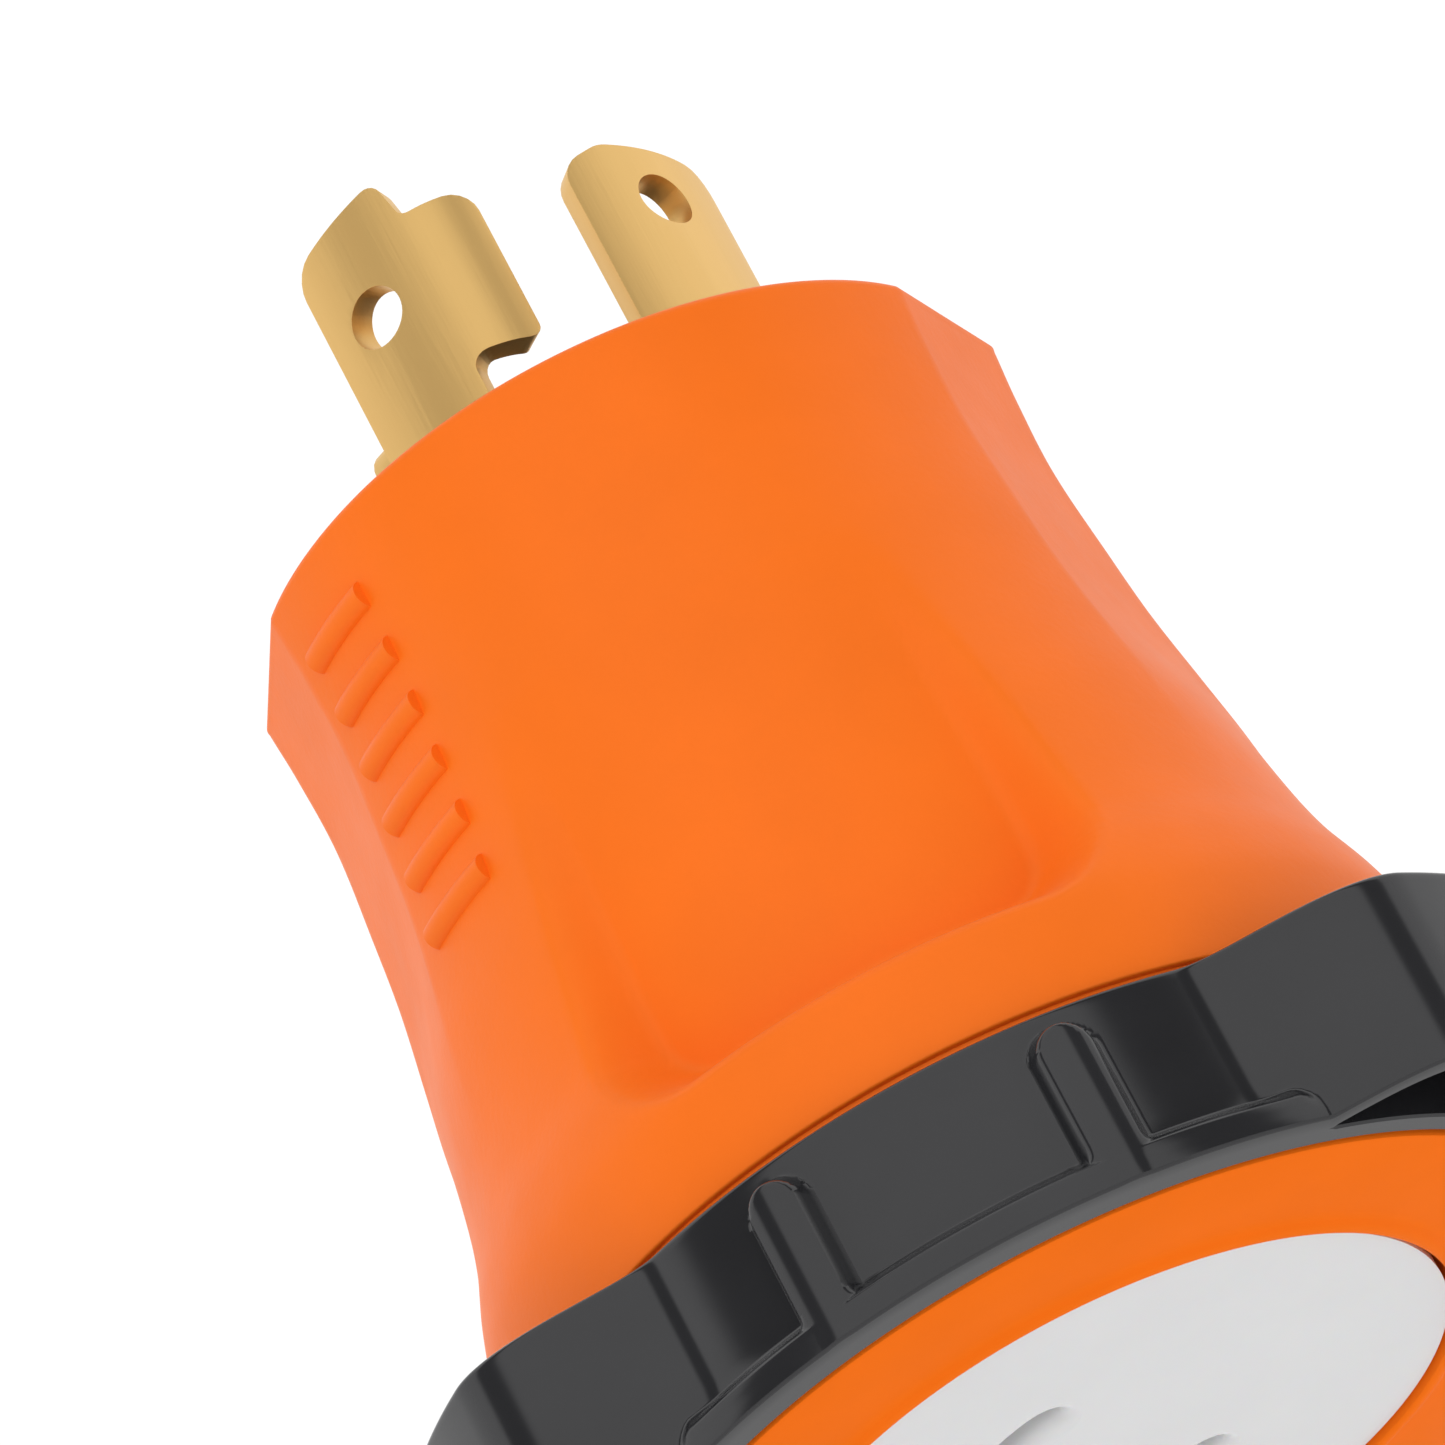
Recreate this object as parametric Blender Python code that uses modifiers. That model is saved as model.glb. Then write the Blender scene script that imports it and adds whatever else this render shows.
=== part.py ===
"""Locking plug adapter with surge parts: a moulded grip with three locking blades at one end,
and at the other a white socket face inside a captive, lobed locking ring.

The origin is the centre of the socket face, and the blades point up. All sizes are in metres.
Angles are in degrees about +Z, from +X towards +Y; the side with a scoop and ribs faces -Y.
"""

import math

import bmesh
import bpy
from mathutils import Matrix, Vector

MM = 0.001
GAP = 0.3 * MM  # between pieces that touch
OVER = 1.0 * MM  # of a cutter past what it cuts

# Overall
BODY_LENGTH = 70.5 * MM  # socket lip to plug end
BODY_RADIUS = 25.5 * MM  # ridges, at the plug end
FLARE_OVERHANG = 3.1 * MM  # beyond the neck, behind the locking ring
GRIP_WALL = 3.5 * MM
BORE_TAPER = 9.0 * MM  # from the socket's bore to the plug's
SEAT_WIDTH = 2.0 * MM  # that the carrier stands against

# Socket end, from the middle outwards
SOCKET_RADIUS = 22.2 * MM
SOCKET_CLEARANCE = 0.4 * MM
SOCKET_RECESS = 0.5 * MM  # face behind the collar's lip
COLLAR_LIP_HEIGHT = 0.5 * MM
COLLAR_LIP_WIDTH = 1.2 * MM
COLLAR_SPIGOT_WALL = 2.9 * MM
COLLAR_SPIGOT_LENGTH = 4.0 * MM
COLLAR_THICKNESS = 3.2 * MM
COLLAR_OVERHANG = 3.2 * MM  # flange beyond the neck
NECK_WALL = 2.7 * MM
GASKET_THICKNESS = 1.0 * MM
SOCKET_FLANGE = 2.5 * MM
CARRIER_LENGTH = 12.6 * MM
POST_RADIUS = 1.3 * MM
POST_LENGTH = 7.0 * MM
POST_CIRCLE = 7.5 * MM
POST_ANGLES = (113.0, 193.0, 330.0)

# Locking ring
RING_HEIGHT = 12.8 * MM
RING_WALL = 1.3 * MM  # between the lobes
RING_LOBE_HEIGHT = 7.0 * MM  # beyond the valleys
RING_LOBES = 3
RING_LOBE_ANGLE = 88.0  # centre of the first lobe, opposite the valley with the front pair of ribs
RING_LOBE_FLAT = 9.0  # half of a lobe's full-height stretch
RING_LOBE_FOOT = 29.0  # half of a lobe at its foot
RING_BORE_CLEARANCE = 0.4 * MM
RING_LEDGE_WIDTH = 1.6 * MM  # beyond the valleys
RING_LEDGE_HEIGHT = 1.8 * MM
LEDGE_SETBACK = 0.1 * MM  # behind the lobes' front
RING_LIP = 2.0 * MM  # inner lip at the back, which the collar stops
RING_LIP_CLEARANCE = 0.5 * MM
RING_BACK_GAP = 0.4 * MM
LOBE_WALL = 1.6 * MM
LOBE_BACK = 2.6 * MM
LOBE_HOLLOW_MIN = 0.2 * MM  # across, at the hollow's ends
LOBE_HOLLOW_MARGIN = 7.0  # from the hollow's ends to the lobe's feet
FINGER_RIB_ANGLE = 16.0  # either side of a valley's centre
FINGER_RIB_WIDTH = 4.2 * MM
FINGER_RIB_HEIGHT = 11.4 * MM
WASHER_THICKNESS = 0.8 * MM
O_RING_SECTION = 1.4 * MM
O_RING_INSET = 0.2 * MM  # inside the ring lip's bore

# Grip: heights as a share of the grip, radii as a share of the way from body to flare
GRIP_PROFILE = (
    (0.0, 1.0), (0.12, 0.98), (0.18, 0.85), (0.25, 0.62), (0.32, 0.47), (0.44, 0.33),
    (0.51, 0.23), (0.61, 0.09), (0.70, 0.01), (0.82, -0.075), (0.92, -0.05), (1.0, 0.0),
)
GRIP_SEGMENTS = 48
GRIP_LEVELS = 18
CREASE_ANGLE = 30.0  # from a ridge to where its flat facet meets the broad arc
CREASE_SHARE = 0.985
FACET_FADE = (0.30, 0.58)  # shares of the grip over which the facets come in
RIM_BEVEL = 0.6 * MM
SCOOP_HALF_WIDTH = 16.2 * MM
SCOOP_BOTTOM = 8.9 * MM  # above the foot of the grip
SCOOP_CORNER = 4.5 * MM
SCOOP_WALL = 1.7 * MM  # half of the width over which its edge slopes
SCOOP_DEPTH = 0.2 * MM  # floor below the body radius
GRIP_RIBS = 6
GRIP_RIB_PITCH = 4.15 * MM
GRIP_RIB_TOP = 5.4 * MM  # first rib below the plug end
GRIP_RIB_RADIUS = 0.95 * MM
GRIP_RIB_SINK = 0.25 * MM  # centre line below the surface
GRIP_RIB_ANGLES = (-145.0, -129.5)

# Socket slots and contacts
CONTACTS = (
    # name, angle, side of its lead, lead, blade that feeds it
    ("ground_contact", -127.0, 1, "ground_lead", "ground_blade"),
    ("neutral_contact", 153.0, -1, "neutral_lead", "neutral_blade"),
    ("line_contact", 73.0, -1, "line_lead", "line_blade"),
)
SLOT_CIRCLE = 8.7 * MM
SLOT_WIDTH = 2.4 * MM
SLOT_HALF = 18.0
FUNNEL = 0.5 * MM
CONTACT_WIDTH = 4.8 * MM
CONTACT_HALF = 24.0
CONTACT_HEIGHT = 10.9 * MM
CONTACT_GRIP = 6.4 * MM
TERMINAL_OFFSET = 13.5  # of a contact's screw and its lead, either side of its middle
CONTACT_SCREW_RADIUS = 1.2 * MM
CONTACT_SCREW_LENGTH = 3.4 * MM
CONTACT_HEAD_RADIUS = 1.92 * MM
CONTACT_HEAD_HEIGHT = 1.6 * MM
MOUTH_MARGIN = 8.0  # of a contact's mouth past its ends
CARRIER_SCREW_INSET = 3.6 * MM  # from the socket face's edge
CARRIER_SCREW_ANGLE = 13.0  # of the first of three
CARRIER_SCREW_RADIUS = 1.5 * MM
CARRIER_SCREW_LENGTH = 17.0 * MM
CARRIER_HEAD_RADIUS = 3.0 * MM
CARRIER_HEAD_HEIGHT = 2.0 * MM

# Plug end
PLUG_RECESS = 0.4 * MM
PLUG_THICKNESS = 7.2 * MM
RETAINER_THICKNESS = 8.6 * MM
PLUG_LEDGE_WIDTH = 5.0 * MM
PLUG_LEDGE_THICKNESS = 3.2 * MM
BLADE_CIRCLE = 14.0 * MM
BLADE_THICKNESS = 1.8 * MM
BLADE_HEIGHT = 19.4 * MM  # live blades above the plug face
BLADE_TAIL = 9.4 * MM  # below the retainer
BLADE_EAR = 0.9 * MM
BLADE_EAR_INSET = 2.0 * MM  # from the retainer's back
BLADE_TAIL_INSET = 1.5 * MM  # either side
TAIL_CORNER = 1.0 * MM
TIP_CORNER = 2.2 * MM
TIP_DROP = 1.2 * MM  # of a tip's corner below its top
TIP_SLANT = 3.0 * MM  # of a live blade's tip
BLADE_SLOT_CLEARANCE = 0.3 * MM
LINE_BLADE_ANGLE = -37.0
NEUTRAL_BLADE_ANGLE = 121.0
LIVE_BLADE_WIDTH = 12.2 * MM
GROUND_BLADE_ANGLE = -120.0
GROUND_BLADE_WIDTH = 8.2 * MM
GROUND_BLADE_HEIGHT = 22.8 * MM
HOOK_LENGTH = 4.2 * MM
HOOK_BEND = 4.6 * MM
HOOK_STEP = 3.2 * MM  # below the ground blade's tip
HOOK_BOTTOM = 8.6 * MM  # above the plug face
HOOK_DROP = 0.6 * MM  # of its free end
HOOK_CORNER = 0.85 * MM
HOOK_SHOULDER = 1.6 * MM
STEP_CORNER = 0.6 * MM
STEP_LEAN = 0.4 * MM
BLADE_HOLE_RADIUS = 1.95 * MM
BLADE_HOLE_HEIGHT = 15.0 * MM
TERMINAL_SCREW_RADIUS = 1.7 * MM
TERMINAL_HEAD_RADIUS = 3.06 * MM
TERMINAL_HEAD_HEIGHT = 2.2 * MM
TERMINAL_SCREW_REACH = 2.8 * MM  # past the blade circle
PLUG_SCREW_INSET = 2.8 * MM  # from the plug's bore
PLUG_SCREW_ANGLE = 25.0  # of the first of three
PLUG_SCREW_RADIUS = 1.1 * MM
PLUG_SCREW_LENGTH = 20.2 * MM
PLUG_HEAD_RADIUS = 1.65 * MM
PLUG_HEAD_HEIGHT = 1.8 * MM
PLUG_RECESS_SIZE = 2.42 * MM
PLUG_RECESS_DEPTH = 0.8 * MM

# Surge board and wiring
BOARD_RADIUS = 14.2 * MM
BOARD_THICKNESS = 1.6 * MM
VARISTOR_RADIUS = 5.5 * MM
VARISTOR_THICKNESS = 4.0 * MM
VARISTOR_CIRCLE = 8.4 * MM
VARISTOR_EDGE = 0.8 * MM
VARISTOR_ANGLE = 30.0  # of the first of three
FUSE_RADIUS = 1.7 * MM
FUSE_LENGTH = 7.6 * MM
LEAD_RADIUS = 1.4 * MM
LEAD_SPACE = 4.0 * MM  # between the board's edge and the leads' middle

# Heights that follow
LIP_Z = -SOCKET_RECESS
FLANGE_Z = LIP_Z + COLLAR_LIP_HEIGHT
PLUG_END = LIP_Z + BODY_LENGTH
COLLAR_BACK = FLANGE_Z + COLLAR_THICKNESS
SPIGOT_TOP = COLLAR_BACK + COLLAR_SPIGOT_LENGTH
NECK_BOTTOM = COLLAR_BACK + GASKET_THICKNESS + 2 * GAP
RING_TOP = FLANGE_Z + RING_HEIGHT
GRIP_BOTTOM = RING_TOP + RING_BACK_GAP
GRIP_LENGTH = PLUG_END - GRIP_BOTTOM
WASHER_TOP = RING_TOP - RING_LIP - GAP
SOCKET_TOP = SPIGOT_TOP + GAP + SOCKET_FLANGE
CARRIER_BOTTOM = SOCKET_TOP + GAP
CARRIER_TOP = CARRIER_BOTTOM + CARRIER_LENGTH
CONTACT_BOTTOM = CARRIER_BOTTOM + GAP
CONTACT_TOP = CONTACT_BOTTOM + CONTACT_HEIGHT
BOARD_BOTTOM = CARRIER_TOP + POST_LENGTH + GAP
BOARD_TOP = BOARD_BOTTOM + BOARD_THICKNESS
PLUG_TOP = PLUG_END - PLUG_RECESS
PLUG_BOTTOM = PLUG_TOP - PLUG_THICKNESS
RETAINER_TOP = PLUG_BOTTOM - GAP
RETAINER_BOTTOM = RETAINER_TOP - RETAINER_THICKNESS
LEDGE_TOP = RETAINER_BOTTOM - GAP
LEDGE_BOTTOM = LEDGE_TOP - PLUG_LEDGE_THICKNESS
TAIL_BOTTOM = RETAINER_BOTTOM - BLADE_TAIL

# Radii that follow
COLLAR_BORE = SOCKET_RADIUS + SOCKET_CLEARANCE
SPIGOT_RADIUS = COLLAR_BORE + COLLAR_SPIGOT_WALL
SOCKET_BORE = SPIGOT_RADIUS + GAP
NECK_RADIUS = SOCKET_BORE + NECK_WALL
COLLAR_RADIUS = NECK_RADIUS + COLLAR_OVERHANG
RING_BORE = COLLAR_RADIUS + RING_BORE_CLEARANCE
RING_LIP_RADIUS = NECK_RADIUS + RING_LIP_CLEARANCE
RING_VALLEY_RADIUS = RING_BORE + RING_WALL
RING_LOBE_RADIUS = RING_VALLEY_RADIUS + RING_LOBE_HEIGHT
RING_LEDGE_RADIUS = RING_VALLEY_RADIUS + RING_LEDGE_WIDTH
FLARE_RADIUS = NECK_RADIUS + FLARE_OVERHANG
CARRIER_SCREW_CIRCLE = SOCKET_RADIUS - CARRIER_SCREW_INSET
INSERT_RADIUS = SOCKET_BORE - GAP
PLUG_BORE = BODY_RADIUS - GRIP_WALL
PLUG_RADIUS = PLUG_BORE - GAP
PLUG_SCREW_CIRCLE = PLUG_BORE - PLUG_SCREW_INSET
LEAD_CIRCLE = BOARD_RADIUS + LEAD_SPACE


def new_material(name, colour, roughness, metallic=0.0):
    """A Principled material."""
    material = bpy.data.materials.new(name)
    material.use_nodes = True
    shader = material.node_tree.nodes["Principled BSDF"]
    shader.inputs["Base Color"].default_value = (*colour, 1.0)
    shader.inputs["Roughness"].default_value = roughness
    shader.inputs["Metallic"].default_value = metallic
    material.diffuse_color = (*colour, 1.0)
    return material


def around(radius, angle, height=0.0):
    """A point at a radius and an angle in degrees about the object's axis."""
    turn = math.radians(angle)
    return Vector((radius * math.cos(turn), radius * math.sin(turn), height))


def link(name, mesh, collection, material=None, smooth=True):
    """Puts a mesh in a collection as an object, shaded smooth but for its sharp edges."""
    obj = bpy.data.objects.new(name, mesh)
    collection.objects.link(obj)
    if material:
        mesh.materials.append(material)
    if smooth:
        mesh.shade_smooth()
        mesh.set_sharp_from_angle(angle=math.radians(30))
    if collection is CUTTERS:
        obj.hide_render = True
        obj.display_type = "WIRE"
    return obj


def mesh_of(obj, name):
    """The evaluated mesh of an object, welded and in world space; the object is removed."""
    bpy.context.view_layer.update()
    graph = bpy.context.evaluated_depsgraph_get()
    mesh = bpy.data.meshes.new_from_object(obj.evaluated_get(graph), depsgraph=graph)
    mesh.transform(obj.matrix_world)
    mesh.name = name
    bpy.data.objects.remove(obj)
    work = bmesh.new()
    work.from_mesh(mesh)
    bmesh.ops.remove_doubles(work, verts=work.verts, dist=1e-7)
    work.to_mesh(mesh)
    work.free()
    return mesh


def turned(name, profile, collection, material=None, steps=64, place=None):
    """A turned solid. The profile is (radius, height) pairs down its outer side, top to bottom.

    One that ends on the axis at both ends is a solid, and any other is closed into a ring.
    """
    mesh = bpy.data.meshes.new(name)
    count = len(profile)
    solid = profile[0][0] == 0 and profile[-1][0] == 0
    edges = [(i, i + 1) for i in range(count - 1)] + ([] if solid else [(count - 1, 0)])
    mesh.from_pydata([(radius, 0, height) for radius, height in profile], edges, [])
    obj = bpy.data.objects.new(name, mesh)
    collection.objects.link(obj)
    screw = obj.modifiers.new("turn", "SCREW")
    screw.steps = screw.render_steps = steps
    screw.use_merge_vertices = True
    screw.merge_threshold = 1e-6
    whole = mesh_of(obj, name)
    if place:
        whole.transform(place)
    return link(name, whole, collection, material)


def extruded(name, outlines, low, high, collection, material=None):
    """A flat outline, with any holes as further outlines, from one height to another."""
    curve = bpy.data.curves.new(name, "CURVE")
    curve.dimensions = "2D"
    curve.fill_mode = "BOTH"
    curve.extrude = (high - low) / 2
    for outline in outlines:
        spline = curve.splines.new("POLY")
        spline.points.add(len(outline) - 1)
        for point, (x, y) in zip(spline.points, outline):
            point.co = (x, y, 0, 1)
        spline.use_cyclic_u = True
    obj = bpy.data.objects.new(name, curve)
    obj.location.z = (low + high) / 2
    collection.objects.link(obj)
    return link(name, mesh_of(obj, name), collection, material)


def tube(name, points, radius, collection, material):
    """A round wire with capped ends along the points."""
    curve = bpy.data.curves.new(name, "CURVE")
    curve.dimensions = "3D"
    curve.bevel_depth = radius
    curve.bevel_resolution = 1
    curve.use_fill_caps = True
    spline = curve.splines.new("POLY")
    spline.points.add(len(points) - 1)
    for target, point in zip(spline.points, points):
        target.co = (*point, 1)
    obj = bpy.data.objects.new(name, curve)
    collection.objects.link(obj)
    return link(name, mesh_of(obj, name), collection, material)


def combine(obj, others, operation):
    """Cuts or joins other objects into one and removes them where they were only joined."""
    for other in others:
        step = obj.modifiers.new(operation.lower(), "BOOLEAN")
        step.operation = operation
        step.object = other
    mesh = obj.data
    bpy.context.view_layer.update()
    graph = bpy.context.evaluated_depsgraph_get()
    whole = bpy.data.meshes.new_from_object(obj.evaluated_get(graph), depsgraph=graph)
    obj.modifiers.clear()
    obj.data = whole
    whole.name = obj.name
    bpy.data.meshes.remove(mesh)
    for other in others:
        bpy.data.objects.remove(other)
    whole.set_sharp_from_angle(angle=math.radians(30))
    return obj


def sector(inner, outer, start, end, steps=8):
    """The outline of a slice of a ring, between two angles."""
    angles = [start + (end - start) * i / steps for i in range(steps + 1)]
    return [around(outer, a)[:2] for a in angles] + [around(inner, a)[:2] for a in reversed(angles)]


def slot_outline(circle, width, start, end, steps=7, end_steps=3):
    """An arc-shaped slot with round ends, whose ends' centres lie at the two angles."""
    half = width / 2
    angles = [start + (end - start) * i / steps for i in range(steps + 1)]
    points = [around(circle + half, a)[:2] for a in angles]
    for i in range(1, end_steps):
        points.append((around(circle, end) + around(half, end + 180 * i / end_steps))[:2])
    points += [around(circle - half, a)[:2] for a in reversed(angles)]
    for i in range(1, end_steps):
        points.append((around(circle, start) + around(half, start + 180 + 180 * i / end_steps))[:2])
    return points


def rounded(corners, steps=2):
    """A polygon whose corners, each (x, y, radius), are rounded by an arc."""
    points = []
    for i, (x, y, radius) in enumerate(corners):
        here = Vector((x, y))
        if not radius:
            points.append(tuple(here))
            continue
        before = (Vector(corners[i - 1][:2]) - here).normalized()
        after = (Vector(corners[(i + 1) % len(corners)][:2]) - here).normalized()
        half = before.angle(after) / 2
        centre = here + (before + after).normalized() * radius / math.sin(half)
        start = here + before * radius / math.tan(half) - centre
        end = here + after * radius / math.tan(half) - centre
        turn = start.angle_signed(end)
        for k in range(steps + 1):
            spin = -turn * k / steps
            points.append((
                centre.x + start.x * math.cos(spin) - start.y * math.sin(spin),
                centre.y + start.x * math.sin(spin) + start.y * math.cos(spin),
            ))
    return points


def circle(x, y, radius, steps=16):
    """A round outline."""
    return [tuple(Vector((x, y)) + around(radius, 360 * i / steps).xy) for i in range(steps)]


def smoothstep(low, high, value):
    """0 below low, 1 above high, and a smooth rise between."""
    share = min(max((value - low) / (high - low), 0.0), 1.0)
    return share * share * (3 - 2 * share)


def smooth_curve(points, value):
    """A Catmull-Rom curve through (x, y) points, read at x."""
    last = len(points) - 2
    i = next((k for k in range(last + 1) if value <= points[k + 1][0]), last)
    (x1, y1), (x2, y2) = points[i], points[i + 1]
    x0, y0 = points[i - 1] if i else (x1 - (x2 - x1), y1)
    x3, y3 = points[i + 2] if i < last else (x2 + (x2 - x1), y2)
    t = (value - x1) / (x2 - x1)
    start = (y2 - y0) / (x2 - x0) * (x2 - x1)
    end = (y3 - y1) / (x3 - x1) * (x2 - x1)
    return (
        (2 * t**3 - 3 * t**2 + 1) * y1 + (t**3 - 2 * t**2 + t) * start
        + (-2 * t**3 + 3 * t**2) * y2 + (t**3 - t**2) * end
    )


# --- the grip -------------------------------------------------------------------------------


def grip_radius(height, angle):
    """The grip's outer radius: flats beside two ridges, broad arcs, and a scoop front and back."""
    share = (height - GRIP_BOTTOM) / GRIP_LENGTH
    ridge = BODY_RADIUS + smooth_curve(GRIP_PROFILE, share) * (FLARE_RADIUS - BODY_RADIUS)
    from_ridge = abs((angle + 90.0) % 180.0 - 90.0)
    crease = ridge * CREASE_SHARE
    if from_ridge < CREASE_ANGLE:
        start, end = around(ridge, 0).xy, around(crease, CREASE_ANGLE).xy
        along = end - start
        ray = around(1, from_ridge).xy
        faceted = start.cross(along) / ray.cross(along)
    else:
        faceted = crease
    facets = smoothstep(*FACET_FADE, share)
    radius = ridge + (faceted - ridge) * facets

    sideways = math.radians(90.0 - from_ridge) * ridge
    x = abs(sideways) - (SCOOP_HALF_WIDTH - SCOOP_CORNER)
    y = (GRIP_BOTTOM + SCOOP_BOTTOM + SCOOP_CORNER) - height
    outside = math.hypot(max(x, 0.0), max(y, 0.0)) + min(max(x, y), 0.0) - SCOOP_CORNER
    floor = BODY_RADIUS - SCOOP_DEPTH
    if floor < radius:
        radius += (floor - radius) * smoothstep(-SCOOP_WALL, SCOOP_WALL, -outside)
    return radius


def grip_heights():
    """Levels of the loft, closer together where the scoop's lower edge is."""
    top = GRIP_LENGTH - RIM_BEVEL
    shares = [i / GRIP_LEVELS for i in range(GRIP_LEVELS + 1)]
    return [GRIP_BOTTOM + top * (share**1.25) for share in shares]


def make_grip():
    """The moulded grip: a lofted outside with a turned neck, a stepped bore and finger ribs."""
    shell = bmesh.new()
    rings = []
    levels = [(height, 0.0) for height in grip_heights()] + [(PLUG_END, RIM_BEVEL)]
    for height, inset in levels:
        angles = [360.0 * i / GRIP_SEGMENTS for i in range(GRIP_SEGMENTS)]
        rings.append([shell.verts.new(around(grip_radius(height, a) - inset, a, height)) for a in angles])
    for lower, upper in zip(rings, rings[1:]):
        for i in range(GRIP_SEGMENTS):
            j = (i + 1) % GRIP_SEGMENTS
            shell.faces.new((lower[i], lower[j], upper[j], upper[i]))
    shell.faces.new(rings[-1])
    shell.faces.new(reversed(rings[0]))
    mesh = bpy.data.meshes.new("grip_body")
    shell.to_mesh(mesh)
    shell.free()
    grip = link("grip_body", mesh, PARTS, ORANGE)

    neck = turned("neck", (
        (0, GRIP_BOTTOM + RIM_BEVEL), (NECK_RADIUS, GRIP_BOTTOM + RIM_BEVEL),
        (NECK_RADIUS, NECK_BOTTOM), (0, NECK_BOTTOM),
    ), CUTTERS, steps=48)
    ribs = [grip_rib(row, side) for side in (0.0, 180.0) for row in range(GRIP_RIBS)]
    combine(grip, [neck, *ribs], "UNION")

    groove = o_ring_centre()[0] - O_RING_SECTION / 2 - GAP
    middle = o_ring_centre()[1]
    half = O_RING_SECTION / 2 + GAP
    o_ring_groove = turned("o_ring_groove", (
        (NECK_RADIUS + GAP, middle + half), (NECK_RADIUS + GAP, middle - half),
        (groove, middle - half), (groove, middle + half),
    ), CUTTERS, steps=48)
    seat = CARRIER_TOP + GAP
    ledge = PLUG_BORE - PLUG_LEDGE_WIDTH
    bore = turned("bore", (
        (0, PLUG_END + OVER), (PLUG_BORE, PLUG_END + OVER), (PLUG_BORE, LEDGE_TOP),
        (ledge, LEDGE_TOP), (ledge, LEDGE_BOTTOM), (PLUG_BORE, LEDGE_BOTTOM),
        (PLUG_BORE, seat + BORE_TAPER), (SOCKET_BORE - SEAT_WIDTH, seat), (SOCKET_BORE, seat),
        (SOCKET_BORE, NECK_BOTTOM - OVER), (0, NECK_BOTTOM - OVER),
    ), CUTTERS, steps=44)
    screw_holes = [plug_screw(i, CUTTERS, "screw_hole") for i in range(3)]
    combine(grip, [o_ring_groove, bore, *screw_holes], "DIFFERENCE")


def grip_rib(row, side):
    """One raised finger rib, along the grip's surface and half sunk in it."""
    height = PLUG_END - GRIP_RIB_TOP - row * GRIP_RIB_PITCH
    start, end = GRIP_RIB_ANGLES
    steps = 4
    points = []
    for i in range(steps + 1):
        share = i / steps
        angle = start + (end - start) * share
        sink = GRIP_RIB_SINK + GRIP_RIB_RADIUS * 0.7 * (2 * share - 1) ** 6
        points.append(around(grip_radius(height, angle) - sink, angle + side, height))
    return tube(f"grip_rib_{row}_{side:.0f}", points, GRIP_RIB_RADIUS, CUTTERS, None)


# --- socket end -----------------------------------------------------------------------------


def make_collar():
    """The flange in front of the neck, with a raised inner lip and a spigot in the bore."""
    turned("socket_collar", (
        (SPIGOT_RADIUS, SPIGOT_TOP), (SPIGOT_RADIUS, COLLAR_BACK), (COLLAR_RADIUS, COLLAR_BACK),
        (COLLAR_RADIUS, FLANGE_Z), (COLLAR_BORE + COLLAR_LIP_WIDTH, FLANGE_Z),
        (COLLAR_BORE + COLLAR_LIP_WIDTH - COLLAR_LIP_HEIGHT / 2, LIP_Z), (COLLAR_BORE, LIP_Z),
        (COLLAR_BORE, SPIGOT_TOP),
    ), PARTS, ORANGE, steps=48)
    inner = SOCKET_BORE + GAP
    turned("collar_gasket", (
        (NECK_RADIUS - GAP, COLLAR_BACK + GAP + GASKET_THICKNESS), (NECK_RADIUS - GAP, COLLAR_BACK + GAP),
        (inner, COLLAR_BACK + GAP), (inner, COLLAR_BACK + GAP + GASKET_THICKNESS),
    ), PARTS, RUBBER, steps=32)


def o_ring_centre():
    """The radius and height of the neck's O-ring, just under the ring lip's bore."""
    radius = RING_LIP_RADIUS - O_RING_SECTION / 2 - O_RING_INSET
    return radius, (NECK_BOTTOM + WASHER_TOP) / 2


def make_o_ring():
    """The O-ring in the neck's groove."""
    radius, height = o_ring_centre()
    half = O_RING_SECTION / 2
    profile = [(radius + half * math.cos(turn), height + half * math.sin(turn))
               for turn in (-math.tau * i / 6 for i in range(6))]
    turned("neck_o_ring", profile, PARTS, RUBBER, steps=30)


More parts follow.
